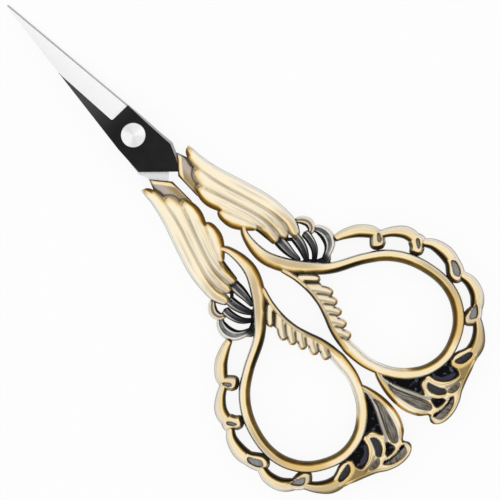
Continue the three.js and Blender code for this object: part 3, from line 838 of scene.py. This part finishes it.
# The scalloped rim: five arches, each ending in a rounded knob against the ring.
cast(
    "scallops",
    [
        [15.2, -45.6, 1.3], [17.3, -46.2, 2.1], [20.1, -47.75, 2.8], [22.15, -49.9, 2.8],
        [22.6, -51.2, 2.2], [21.9, -52.4, 1.4],
    ],
    [[22.9, -51.6, 1.7], [25.3, -53, 2.2], [27.25, -55, 2.8], [27.85, -57.2, 2.8], [27.15, -58.8, 1.8]],
    [[28.2, -59, 1.6], [29.85, -61.1, 2.5], [30.5, -64.2, 3.3], [30.05, -67, 3.1], [29, -68.8, 1.8]],
    [[29.4, -69.4, 1.9], [30, -72.2, 2.7], [29.2, -75.1, 3], [27.4, -77, 2.8], [25.6, -77.6, 1.8]],
    [[25.8, -78.4, 1.9], [24.05, -81.05, 2.5], [21.6, -83, 3.3], [18.8, -83.5, 3.2], [17, -83.2, 2]],
    dark=1.0, height=4.1, step=0.2, sides=56, fullness=(0.85, 0.8, 0.65),
)
for knob in (
    [
        (21.5, -50.3), (20.6, -51.1), (19.8, -52.1), (19.9, -53.1), (20.7, -53.9), (21.7, -54.3),
        (22.7, -53.9), (23.4, -53.1), (23.9, -52.4), (24.2, -51.5), (23.7, -50.7), (22.7, -49.8),
    ],
    [
        (26.4, -57), (25.7, -58.1), (25, -58.8), (25.2, -59.8), (25.7, -60.6), (26.6, -61), (27.6, -60.7),
        (28.2, -60.1), (28.7, -59.8), (29.4, -59.4), (29.7, -58.5), (29.3, -57.2), (28.2, -56),
    ],
    [
        (29.3, -65), (28.4, -66.3), (27.4, -67.6), (27, -68.6), (27.1, -69.8), (27.8, -70.7), (28.8, -71),
        (29.6, -70.6), (30.5, -70.1), (31.1, -69.2), (31.7, -67.2), (31.4, -65.2),
    ],
    [
        (28.2, -75.1), (26.6, -76), (25.1, -76), (23.6, -76.3), (22.7, -77.2), (22.7, -78.2), (23.3, -79.1),
        (24.2, -79.7), (25.2, -79.8), (26.3, -79.6), (27.6, -78.6), (29, -77.2), (29.8, -75.6),
    ],
):
    cast_plate("knobs", rounded(knob), 4.2, 1.0, grid=0.2, swell=1.9, dark=1.0)
cast_plate(
    "knobs",
    rounded([
        (14.6, -82.8), (15, -81.7), (16, -81), (17.4, -81), (18.8, -81.5), (20.3, -82), (21.4, -83),
        (20.8, -84.4), (19.4, -85), (17.4, -85.3), (15.8, -84.8), (14.8, -83.8),
    ]),
    3.95, 0.5, grid=0.2, swell=1.9, dark=1.0,
)

# The foot: a leaf and two curls, cut round by deep pits.
foot_outline = rounded([
    (2.2, -72), (1.2, -74), (0.65, -76.5), (0.45, -79.5), (0.85, -82.6), (2, -85.1), (3.6, -86.5),
    (3.6, -87), (3.1, -88), (3.55, -89.1), (5.2, -89.85), (8.05, -89.85), (10.6, -88.95), (12.45, -87.8),
    (14.8, -86.75), (17.7, -85.75), (19.6, -85.2), (20.8, -84.5), (19.6, -83.6), (16.4, -82.4), (15.4, -80),
    (9.8, -78.9), (5, -75.2), (3, -72),
])
cast_plate("foot", foot_outline, 4.0, 0.7, grid=0.2)
cast(
    "leaf_rim",
    [
        [2.5, -71.6, 0.8], [1.75, -73.6, 1.2], [1.2, -76.8, 1.6], [1.1, -80, 1.6], [1.65, -82.8, 1.6],
        [2.9, -85, 1.4], [4.4, -86.3, 1],
    ],
    dark=0.72, height=4.3, fullness=(1.2, 0.6, 0.75),
)
cast(
    "curl_rims",
    [
        [6.6, -84, 0.5], [6.9, -82.3, 0.7], [8, -81, 0.7], [9, -80.9, 0.7], [9.4, -82.2, 0.6],
        [10.2, -83.7, 0.6], [11.8, -84.9, 0.7], [13.8, -85.3, 0.7], [15.2, -84.7, 0.7],
    ],
    [[6.9, -84, 0.5], [8, -85.4, 0.6], [9.3, -86, 0.6], [10.3, -85.6, 0.5]],
    [
        [10.6, -87.4, 0.6], [9.8, -86.8, 0.6], [8.2, -87.1, 0.6], [6.2, -87.2, 0.6], [4.9, -86.9, 0.7],
        [3.9, -87.5, 0.8], [4, -88.8, 1], [5.6, -89.55, 1], [8, -89.5, 1], [10.45, -88.65, 1],
        [12.3, -87.5, 1], [14.65, -86.45, 1.1], [17.4, -85.4, 1.1], [19.4, -84.5, 0.9],
    ],
    dark=0.35, height=4.35, fullness=(0.75, 0.75, 0.8),
)

# The collar that holds the blade's base.
cast_plate(
    "collar",
    [
        (4.15, -8.95), (0.82, -12.85), (0.75, -18.5), (1.2, -21), (2.6, -22), (5.9, -18), (5.9, -13),
        (5, -11.3),
    ],
    3.8, 0.4,
)

casting = {key: np.concatenate([part[key] for part in castings]) for key in castings[0] if key != "faces"}
casting_faces = []
first_point = 0
for part in castings:
    casting_faces += [(face + first_point).tolist() for face in part["faces"]]
    first_point += len(part["places"])


def part_of(*names):
    """Which points of the casting belong to the families named."""
    return np.isin(casting["family"], names)


def sink(family, outline, floor, tone, slope=0.3):
    """Presses a panel into both faces of one family, down to a floor measured from the parting plane."""
    places = casting["places"]
    near = np.all((places[:, :2] > outline.min(0)) & (places[:, :2] < outline.max(0)), axis=1)
    near &= part_of(family)
    share = eased(inside_depth(places[near, :2], outline), 0, slope)
    height = places[near, 2]
    over = np.maximum(np.abs(height) - floor, 0)
    places[near, 2] = height - np.sign(height) * over * share
    casting["sunk"][near] = np.maximum(casting["sunk"][near], share * (over > 0))
    casting["tone"][near] = np.where(share > 0, tone, casting["tone"][near])


def engrave(families, points, width, depth, shade=1.0, fade=0.01):
    """Cuts a soft groove, in millimetres, that fades in from its first point, and darkens it by a share."""
    line = rounded(points, closed=False)
    places = casting["places"]
    near = np.all((places[:, :2] > line.min(0) - width) & (places[:, :2] < line.max(0) + width), axis=1)
    near &= part_of(*families)
    share = 1 - eased(distance_to(places[near, :2], line[:-1], line[1:]), 0.1 * width, width)
    share *= eased(np.linalg.norm(places[near, :2] - line[0], axis=1), 0, fade)
    places[near, 2] -= np.sign(places[near, 2]) * np.minimum(share * depth, np.abs(places[near, 2]))
    casting["valley"][near] = np.maximum(casting["valley"][near], share * shade)


casting["valley"] = part_of("wing_body") * 0.7
# valleys between the feathers, and finer lines on them
for width, depth, shade, line in (
    (0.4, 0.2, 0.75, [
        (5.1, -14.3), (5.6, -18), (6.5, -21.5), (7.7, -25), (8.95, -29.5), (9.8, -33.5), (9.9, -36),
        (9, -38.8),
    ]),
    (0.45, 0.22, 0.85, [(3.1, -17.6), (4.2, -21.5), (5.7, -26), (6.95, -30), (7.6, -33.5), (7.25, -38.2)]),
    (0.4, 0.12, 0.5, [(2.2, -24), (3.2, -26.5), (4.6, -29.8), (5.7, -33.2)]),
    (0.55, 0.1, 1.0, [(9.1, -30), (9.8, -33.2), (9.9, -36), (9.2, -38.4)]),
    (0.55, 0.1, 1.0, [(6.95, -30), (7.5, -33.2), (7.5, -36), (7.25, -38)]),
    (0.3, 0.07, 0.6, [(5.1, -20), (6.4, -24), (7.9, -28.5), (8.6, -32), (8.6, -35.5)]),
    (0.3, 0.07, 0.6, [(3.2, -21.5), (4.6, -25.5), (6, -29.8), (6.5, -33.5)]),
    (0.3, 0.07, 0.45, [(7.7, -20), (9.3, -25), (10.6, -30), (11.2, -34.5)]),
    (0.25, 0.05, 0.35, [(4.2, -18), (5, -22), (6.6, -27), (8.1, -32.5), (8.2, -37)]),
    (0.25, 0.05, 0.35, [(2.3, -20.5), (3.6, -25), (5.4, -29.5), (6.2, -34)]),
):
    engrave(["feathers"], line, width, depth, shade, 5)
# grooves between the rope's turns, which run on a little into the band
for shade, line in (
    (0.6, [(3.6, -44.6), (5.4, -46.2), (7.3, -48)]),
    (0.8, [(4.2, -47.4), (5.6, -48.8), (7.2, -50.5)]),
    (0.85, [(4.3, -51), (5.5, -52.4), (6.8, -54.1)]),
    (0.85, [(3.9, -53.6), (4.9, -54.8), (5.95, -56.1)]),
    (0.85, [(3.2, -56), (4, -57), (5, -58.3)]),
    (0.85, [(2.3, -58.7), (3.1, -59.8), (3.95, -61)]),
    (0.85, [(1.6, -61.2), (2.3, -62.2), (3.15, -63.4)]),
):
    engrave(("ring_wire", "rope_turns", "rope_floor"), line, 0.45, 0.3, shade, 0.8)
engrave(("rope_turns", "rope_floor"), [(4.6, -48), (6, -49.4), (7.4, -50.6)], 0.7, 0.4)
# a finer groove along each turn
for line in (
    [(4.2, -50), (5.3, -51.3), (6.6, -53.2)],
    [(4, -52.6), (4.9, -53.8), (5.9, -55.3)],
    [(3.4, -55.2), (4.2, -56.2), (5, -57.5)],
    [(2.6, -57.8), (3.3, -58.8), (4, -60.2)],
    [(1.9, -60.5), (2.4, -61.4), (2.9, -62.7)],
):
    engrave(("rope_turns", "rope_floor"), line, 0.38, 0.1, 0.75, 0.4)
# painted shade: dark corners where the feathers leave the collar, and dark edges of the collar
engrave(["collar"], [(4.35, -9.5), (4.7, -10.5), (4.75, -11.4), (4.5, -12.6), (4.4, -13.6)], 0.55, 0.4)
engrave(["collar"], [(4.4, -13.7), (3.8, -14.1), (3.1, -14.7), (2.65, -15.7), (2.5, -17)], 0.38, 0.3, 0.85)
engrave(["collar"], [(2.6, -17), (2.1, -16.9), (1.2, -17.7)], 0.35, 0.3, 0.7)
engrave(["collar"], [(4.15, -8.95), (0.82, -12.85)], 0.4, 0, 0.9)
engrave(["collar"], [(0.82, -12.85), (0.75, -18.5)], 0.42, 0, 0.9)

# painted shade: the band's dark outer edge beside the rope
band_edge = [
    (3.7, -48.4), (3.72, -50.6), (3.45, -52.6), (2.75, -55.6), (1.9, -58), (1.3, -59.6), (0.8, -62),
    (0.5, -64),
]
engrave(("ring_wire", "rope_floor"), band_edge, 0.5, 0, 0.9, 1)
# dark lines where the ring meets the pit, under the curl and at the top of the leaf
engrave(["ring_wire"], [(2.9, -73.9), (4.03, -76.1), (6.4, -78.6), (8.6, -80)], 0.6, 0, 0.9, 1)
engrave(["foot"], [(10.6, -84.8), (12.2, -85.6), (14.4, -85.9)], 0.4, 0.2, 0.55)
engrave(("leaf_rim", "foot"), [(2.3, -74.2), (2.12, -76), (1.95, -77.4)], 0.25, 0.05, 0.7, 0.6)

BLACK = 0.0
LILAC = 0.14
SMOKE = 0.2
DARK = 0.28
PEWTER = 0.45
GREY = 0.5
LEAF = 0.55
SILVER = 0.78
TAN = 1.0
# the foot: pits round the leaf and the curls, open to the ring
for floor, colour, slope, outline in (
    (0.9, BLACK, 0.3, [
        (2.6, -73.6), (4.2, -74.6), (6, -76.6), (8.3, -78.4), (10, -79.2), (9.3, -80.3), (7.5, -80.7),
        (6.6, -82.3), (6, -82.9), (4.95, -80.9), (3.65, -78.3), (2.75, -75.8),
    ]),
    (0.9, BLACK, 0.3, [
        (9.8, -79.4), (12, -79.8), (16.4, -80.2), (16, -81), (14.9, -82.2), (15.1, -83.8), (14.3, -84.9),
        (12.4, -84.6), (11, -83.6), (10, -82.2), (9.7, -80.8),
    ]),
    (0.9, BLACK, 0.3, [
        (6.6, -78.2), (8.6, -78.7), (10.6, -79.4), (10.4, -81.4), (9.6, -80.5), (8.7, -80.3), (7.6, -80.6),
        (6.8, -80.2),
    ]),
    (1.2, LILAC, 0.3, [
        (10.2, -81.9), (10.8, -81.7), (11.7, -82.9), (14, -83.9), (13.6, -84.5), (11.8, -84.1), (10.6, -83),
    ]),
    (0.9, BLACK, 0.3, [(6.3, -84.6), (7.3, -84.6), (8.5, -85.9), (8.7, -86.8), (7.4, -87), (6, -86.6)]),
    # faces of the curls, of the leaf and of the tail
    (1.3, DARK, 0.3, [
        (8.6, -81.3), (9.05, -82.3), (9.7, -83.9), (10.4, -85), (9.7, -85.8), (8.2, -84.9), (7.4, -83.4),
        (7.6, -82),
    ]),
    (1.45, GREY, 0.3, [
        (4.3, -88), (4.8, -87.1), (6.4, -87.5), (8.4, -87.4), (9.8, -87), (10.6, -87.3), (9.3, -88.6),
        (7.2, -89.25), (5.1, -89.15),
    ]),
    (1.1, BLACK, 0.15, [
        (4.3, -87.7), (4.8, -87.1), (6.4, -87.5), (8.4, -87.4), (9.8, -87), (10.5, -87.3), (8.6, -87.8),
        (6.6, -87.9),
    ]),
    (1.5, LEAF, 0.3, [
        (2.2, -75.4), (2.75, -77.6), (4.2, -80.8), (5.7, -83.9), (5.8, -85.6), (4.6, -86.1), (2.95, -83.8),
        (1.9, -80.2), (1.65, -77.5),
    ]),
    (1.7, PEWTER, 0.5, [(9.9, -85.5), (11.4, -85.3), (13.6, -86), (13.3, -86.7), (12, -87.1), (10.5, -86.7)]),
):
    sink("foot", rounded(outline), floor, colour, slope)
# faces of the knobs
for floor, colour, outline in (
    (1.4, SILVER, [
        (23.1, -51.1), (23.2, -51.7), (22.6, -52.7), (21.9, -53), (21.7, -52.5), (22.1, -51.8),
        (22.7, -51.2),
    ]),
    (1.4, SILVER, [
        (28.1, -57.7), (28.4, -58.2), (27.8, -59.2), (27.1, -59.7), (26.8, -59.5), (27.2, -58.6),
        (27.7, -57.9),
    ]),
    (1.4, SILVER, [
        (30.2, -66.2), (30.7, -66.9), (30.5, -68.3), (29.8, -69.5), (29.05, -69.9), (28.6, -69.4),
        (28.5, -68.6), (29.2, -67.4), (29.8, -66.4),
    ]),
    (1.4, SILVER, [
        (27.4, -76.5), (27.3, -77.1), (26.4, -78.2), (25.5, -78.7), (24.6, -78.3), (24.3, -77.7),
        (24.8, -77.3), (26, -76.8),
    ]),
    (1.2, SMOKE, [
        (15.6, -82.4), (16, -82), (17.2, -82.2), (18.8, -82.6), (19.7, -83.1), (19.6, -83.6), (18.8, -83.9),
        (17.6, -83.9), (16.4, -83.5),
    ]),
):
    sink("knobs", rounded(outline), floor, colour, 0.22)
    for under in ("scallops", "foot"):
        sink(under, rounded(outline), floor - 0.1, colour, 0.22)
# painted shade: black round the knobs' inner ends
for line in (
    [(21.9, -50.2), (20.8, -51.1), (20.1, -52.1), (20.1, -53), (20.9, -53.8), (21.8, -54.1), (22.7, -53.8)],
    [
        (26.6, -57.1), (25.8, -58.1), (25.2, -58.9), (25.4, -59.8), (25.9, -60.5), (26.7, -60.8),
        (27.6, -60.5),
    ],
    [
        (29.2, -65.2), (28.4, -66.4), (27.45, -67.6), (27.05, -68.6), (27.15, -69.8), (27.85, -70.6),
        (28.8, -70.9), (29.6, -70.5),
    ],
    [
        (28, -75.2), (26.6, -76.1), (25.2, -76.1), (23.7, -76.4), (22.9, -77.3), (22.9, -78.1),
        (23.5, -78.9), (24.3, -79.5), (25.2, -79.6),
    ],
):
    engrave(["knobs"], line, 0.5, 0.2, 1.0, 0.6)
# the collar's panel
sink("collar", np.array([
    (4.3, -10.2), (1.75, -13.35), (1.15, -14.3), (1.1, -19), (5.6, -19), (5.5, -11.6),
]), 1.6, TAN, 0.3)


def map_of(places, cell=0.1):
    """The cell of a map of the casting that each point falls in, and the map's size."""
    cells = ((places[:, :2] - places[:, :2].min(0) + 3) / cell).astype(int)
    return (cells[:, 0], cells[:, 1]), cells.max(0) + 31


def blurred(values, spread):
    """A map made soft over a number of cells."""
    weights = np.exp(-0.5 * (np.arange(-3 * spread, 3 * spread + 1) / spread) ** 2)
    for axis in (0, 1):
        values = np.apply_along_axis(np.convolve, axis, values, weights, "same")
    return values


def relief_of(places):
    """How far each point stands over the casting's average height round it; valleys are below zero."""
    cells, size = map_of(places)
    tops = np.zeros(size)
    np.maximum.at(tops, cells, np.abs(places[:, 2]))
    for axis in (0, 1):
        tops = np.maximum(tops, np.maximum(np.roll(tops, 1, axis), np.roll(tops, -1, axis)))
    mean = blurred(tops, 6) / np.maximum(blurred((tops > 0).astype(float), 6), 1e-9)
    return np.abs(places[:, 2]) - mean[cells]


def drift_of(places, turn):
    """The turn inwards, averaged round each point, so that the painted shade of a side reaches the face
    beside it.
    """
    cells, size = map_of(places)
    total, count = np.zeros(size), np.zeros(size)
    np.add.at(total, cells, turn)
    np.add.at(count, cells, 1)
    there = (count > 0).astype(float)
    return (blurred(total / np.maximum(count, 1), 5) / np.maximum(blurred(there, 5), 1e-9))[cells]


def between(values, low, full, fall, end):
    """Rises from low to full, and falls again from fall to end."""
    return eased(values, low, full) * (1 - eased(values, fall, end))


def near_line(points, near, far):
    """1 up to the nearer distance from a line, and 0 from the further one."""
    line = rounded(points, closed=False)
    return 1 - eased(distance_to(plan, line[:-1], line[1:]), near, far)


def paint(key, where, values):
    """Gives the points picked out their own values."""
    casting[key] = np.where(where, values, casting[key])


def at_least(key, values):
    casting[key] = np.maximum(casting[key], values)


casting["relief"] = relief_of(casting["places"])
plan = casting["places"][:, :2]
x_mm, y_mm = plan[:, 0], plan[:, 1]
down = -y_mm

# painted shade: the petals darken towards the stem and under the feathers' tips
petals_out_of_painted_shade = eased(np.hypot(x_mm - 8.6, y_mm + 46.8), 1.5, 8) * eased(down, 37.6, 38.6) * 0.64
paint("tone", casting["gunmetal"] > 0, np.maximum(petals_out_of_painted_shade, eased(x_mm, 11.5, 12.5)))
# painted shade: the web beside the feathers is black
paint("tone", part_of("wing_web"), 0)

# the border between the leaf and its pit is worn to bare silver
ridge_line = [(2.4, -73.2), (2.5, -75.4), (3.15, -77.8), (4.6, -80.9), (6.1, -83.7), (6.7, -84.2)]
on_ridge = near_line(ridge_line, 0.25, 0.45) * part_of("foot") * (1 - np.maximum(casting["sunk"], 0) ** 2)
at_least("gunmetal", on_ridge)
paint("tone", on_ridge > 0.3, LEAF)

# the foot's tail and the last arch are less worn than the rest
on_arch = part_of("scallops")
tail_dulled = eased(down, 81.5, 84.5) * eased(x_mm, 10, 14) * 0.9
dulled = np.maximum(tail_dulled, on_arch * eased(down, 78.5, 82) * 0.5)
last_knob = rounded([(15.4, -82.6), (16, -82), (18.8, -82.6), (19.7, -83.2), (18.8, -83.9), (16.4, -83.6)])
dulled *= eased(-inside_depth(plan, last_knob), 0.5, 1.0)
dulled *= np.where(part_of("curl_rims"), eased(down, 85.2, 85.8), ~part_of("knobs"))
casting["wear"] = 1 - dulled
# how strongly each arch's inner side takes painted shade, along the rim
arch_dark = np.interp(down, [50, 53, 57, 60, 64, 73, 78, 82], [1.1, 0.9, 0.95, 1.2, 1.5, 1.5, 1.2, 1.1])
paint("dark", on_arch, arch_dark)

# the stem is a duller beige, and so are the feathers' lower ends and the first one's tip
on_ring = part_of("ring_wire")
stem_line = [(1.9, -36), (2.35, -39), (4.6, -43.2), (7.6, -46.7), (11.2, -49.7)]
dull = near_line(stem_line, 0.8, 1.6) * on_ring * eased(down, 36, 41) * (1 - eased(x_mm, 7, 11))
dull += on_ring * eased(x_mm, 9, 14) * between(y_mm, -76, -70, -64, -59)
dull += part_of("rope_turns", "rope_floor") * 0.1
dull += on_ring * (x_mm < 6) * between(y_mm, -62, -58, -47, -44) * 0.4
# the arches differ in wear, and the last is the dullest
on_rim = part_of("scallops", "knobs") & (casting["sunk"] < 0.01)
rim_stations = [46, 50, 54, 58, 62, 70, 74, 79, 83]
dull += on_rim * np.interp(down, rim_stations, [0.1, 0.3, 0.35, 0.15, 0, 0.05, 0.2, 0.7, 1])
dull = np.where(part_of("knobs") & (y_mm < -80), 0.1, dull)
feather_dull = eased(down, 31, 37) * (1 - eased(x_mm, 11.4, 12.4)) * 0.95 + eased(y_mm, -12, -10)
casting["tone"] = np.minimum(np.where(part_of("feathers"), feather_dull, casting["tone"] + dull), 1)

# the leaf's face is darker at its foot; its rim is amber above and worn pale below, where it also takes less
# painted shade
paint("tone", part_of("foot") & (casting["tone"] == LEAF), 0.63 - 0.14 * eased(down, 77, 82))
leaf_border = part_of("leaf_rim", "foot") * (1 - eased(x_mm, 1.6, 2.6))
casting["amber"] = leaf_border * eased(y_mm, -80.5, -78) * 0.4
paint("tone", part_of("leaf_rim"), eased(down, 83.3, 85.3) * 0.9)
paint("pale", part_of("leaf_rim"), between(down, 79, 80.5, 83.5, 85))
casting["dark"] *= 1 - leaf_border * between(down, 79, 80.5, 83.5, 84.8) * 0.4

# the tail, the ring's lower side, the feathers' upper ends and the band's edge are amber
at_least("amber", part_of("foot", "scallops", "curl_rims") * eased(down, 80, 83) * eased(x_mm, 12, 15) * 0.4)
at_least("amber", on_ring * eased(x_mm, 16, 21) * eased(down, 67, 73) * 0.45)
for top_x, top_y in ((6.9, -9.8), (4.6, -14.2), (2.2, -17.3), (1.8, -24)):
    from_top = np.hypot(x_mm - top_x, (y_mm - top_y) * 0.7)
    at_least("amber", part_of("feathers") * (1 - eased(from_top, 0.3, 1.5)) * 0.45)
at_least("amber", near_line(band_edge, 0.5, 1.3) * on_ring * eased(down, 54, 59) * 0.9)
# the rope, and the ring below it, are worn pale
ring_worn = on_ring * (1 - eased(x_mm, 3.5, 5)) * between(down, 62, 65, 70, 75)
at_least("pale", ring_worn * 0.6 + part_of("rope_turns") * 0.5)

# a dark line runs round the foot's lower edge
at_foot = part_of("foot", "leaf_rim", "curl_rims") & (y_mm < -81)
foot_edge = 1 - eased(inside_depth(plan[at_foot], foot_outline), 0.1, 0.4)
foot_edge *= eased(down[at_foot], 81, 85.5) * 0.85
casting["valley"][at_foot] = np.maximum(casting["valley"][at_foot], foot_edge)

# painted shade: the ring's inner side is black under the stem and paler away from it
painted_shadow_under_stem = on_ring * eased(y_mm, -58, -52) * between(x_mm, 5.5, 8.5, 12, 20)
on_band = on_ring * (x_mm < 6) * between(y_mm, -64, -60, -46, -43)
casting["dark"] += on_ring * eased(x_mm, 5, 13) * (0.5 - 0.3 * eased(down, 71, 78))
casting["dark"] += painted_shadow_under_stem * 0.7 + on_band * 0.4
# how dark the painted shade of the inner sides and how pale the painted light of the outer sides can get
casting["darkest"] = np.where(on_ring, 0.47 + painted_shadow_under_stem * 0.4 + on_band * 0.3, 1)
by_collar = eased(y_mm + eased(x_mm, 2.35, 2.75) * 2, -18, -16.5) * (1 - eased(y_mm, -12, -11))
paint("darkest", part_of("feathers"), 0.47 - 0.35 * by_collar)
paint("darkest", leaf_border > 0.5, 0.34 - 0.24 * between(down, 79, 81, 84, 85.5))
casting["palest"] = np.where(on_ring, -0.7 + 0.6 * on_band, -1)
# the collar's panel is brown beside the axis and mauve grey away from it
paint("tone", part_of("collar"), (1 - eased(x_mm, 1.6, 3.6) * 0.12) * (casting["sunk"] > 0.02))

wing_outline = rounded([
    (6.9, -9.9), (7.3, -13), (8.3, -17), (9.8, -22), (11.3, -27), (12.3, -32), (12.5, -35), (12.1, -37.6),
    (10.8, -39.6), (9.6, -39.8), (8.8, -38.5), (7.6, -38.2), (6.6, -38), (5.6, -37), (5.4, -33.3),
    (3, -30.6), (1.2, -27.2), (1, -25.6), (1.9, -23.8), (1.3, -22), (1, -19.8), (1.7, -17.9), (2.9, -17.5),
    (3.1, -15.6), (4.6, -14.4), (5.1, -13), (5.3, -11.5),
])

RING_MIDDLE = np.array([13.5, -66])
SHARP_ON_BOW = math.radians(60)


def turn_inwards(normals):
    """How far a surface faces inwards: to the axis, or round the finger ring to the middle of the ring."""
    to_middle = RING_MIDDLE - plan
    to_middle /= np.maximum(np.linalg.norm(to_middle, axis=1), 1e-6)[:, None]
    round_ring = (eased(x_mm, 4, 9.5) * eased(down, 46, 50))[:, None]
    inwards = to_middle * round_ring + np.array([-1, 0]) * (1 - round_ring)
    return (normals[:, :2] * inwards).sum(1)


def make_bow(name, turned):
    mesh = bpy.data.meshes.new(name)
    mesh.from_pydata((casting["places"] * MM).tolist(), [], casting_faces)
    normals = np.empty(len(mesh.vertices) * 3)
    mesh.vertex_normals.foreach_get("vector", normals)
    normals = normals.reshape(-1, 3)
    looks = {key: casting[key] for key in ("relief", "sunk", "tone", "pale", "gunmetal", "wear")}
    # painted light and shade: the more a surface faces inwards the darker it is painted, and the more
    # outwards the paler
    turn = turn_inwards(normals)
    # the painted light of the outer sides is weak on upright outer walls, which stay as bright as the faces
    turn = np.where(turn < 0, turn * (0.35 + 0.65 * eased(abs(normals[:, 2]), 0.05, 0.25)), turn)
    # painted shade: the lower arches have a dark outer edge, on the sides that face outwards
    painted_outer_shade = eased(-turn, 0.5, 0.8) * on_arch * eased(down, 75, 79) * 0.75
    looks["valley"] = np.maximum(casting["valley"], painted_outer_shade)
    # painted shade: each turn of the rope is dark on its lower side
    turn = np.where(part_of("rope_turns"), normals[:, :2] @ (0.2, -0.98), turn)
    wing_depth = inside_depth(plan, wing_outline)
    to_axis = (1 - eased(x_mm, 6, 10)) * (1 - 0.6 * eased(wing_depth, 0.5, 1.4))
    looks["drift"] = np.maximum(drift_of(casting["places"], turn) * to_axis, casting["amber"])
    # between the feathers the sides take little painted shade, and stay nearly as pale as the faces
    inside_wing = eased(wing_depth, 0.5, 1) * part_of("feathers", "wing_body")
    inside_wing *= 0.7 - 0.35 * eased(down, 28, 34)
    inner_side = np.minimum(turn * casting["dark"], casting["darkest"])
    turn = np.where(turn > 0, inner_side, np.maximum(turn, casting["palest"]))
    looks["turn"] = turn * (1 - inside_wing)
    for key, values in looks.items():
        mesh.attributes.new(key, "FLOAT", "POINT").data.foreach_set("value", values)
    mesh.shade_smooth()
    mesh.set_sharp_from_angle(angle=SHARP_ON_BOW)
    return finished(name, mesh, antique_brass, turned)


right_bow = make_bow("right_bow_casting", False)
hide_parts("right_bow")
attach(right_bow, "front_half")
left_bow = make_bow("left_bow_casting", True)
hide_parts("left_bow")
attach(left_bow, "back_half")
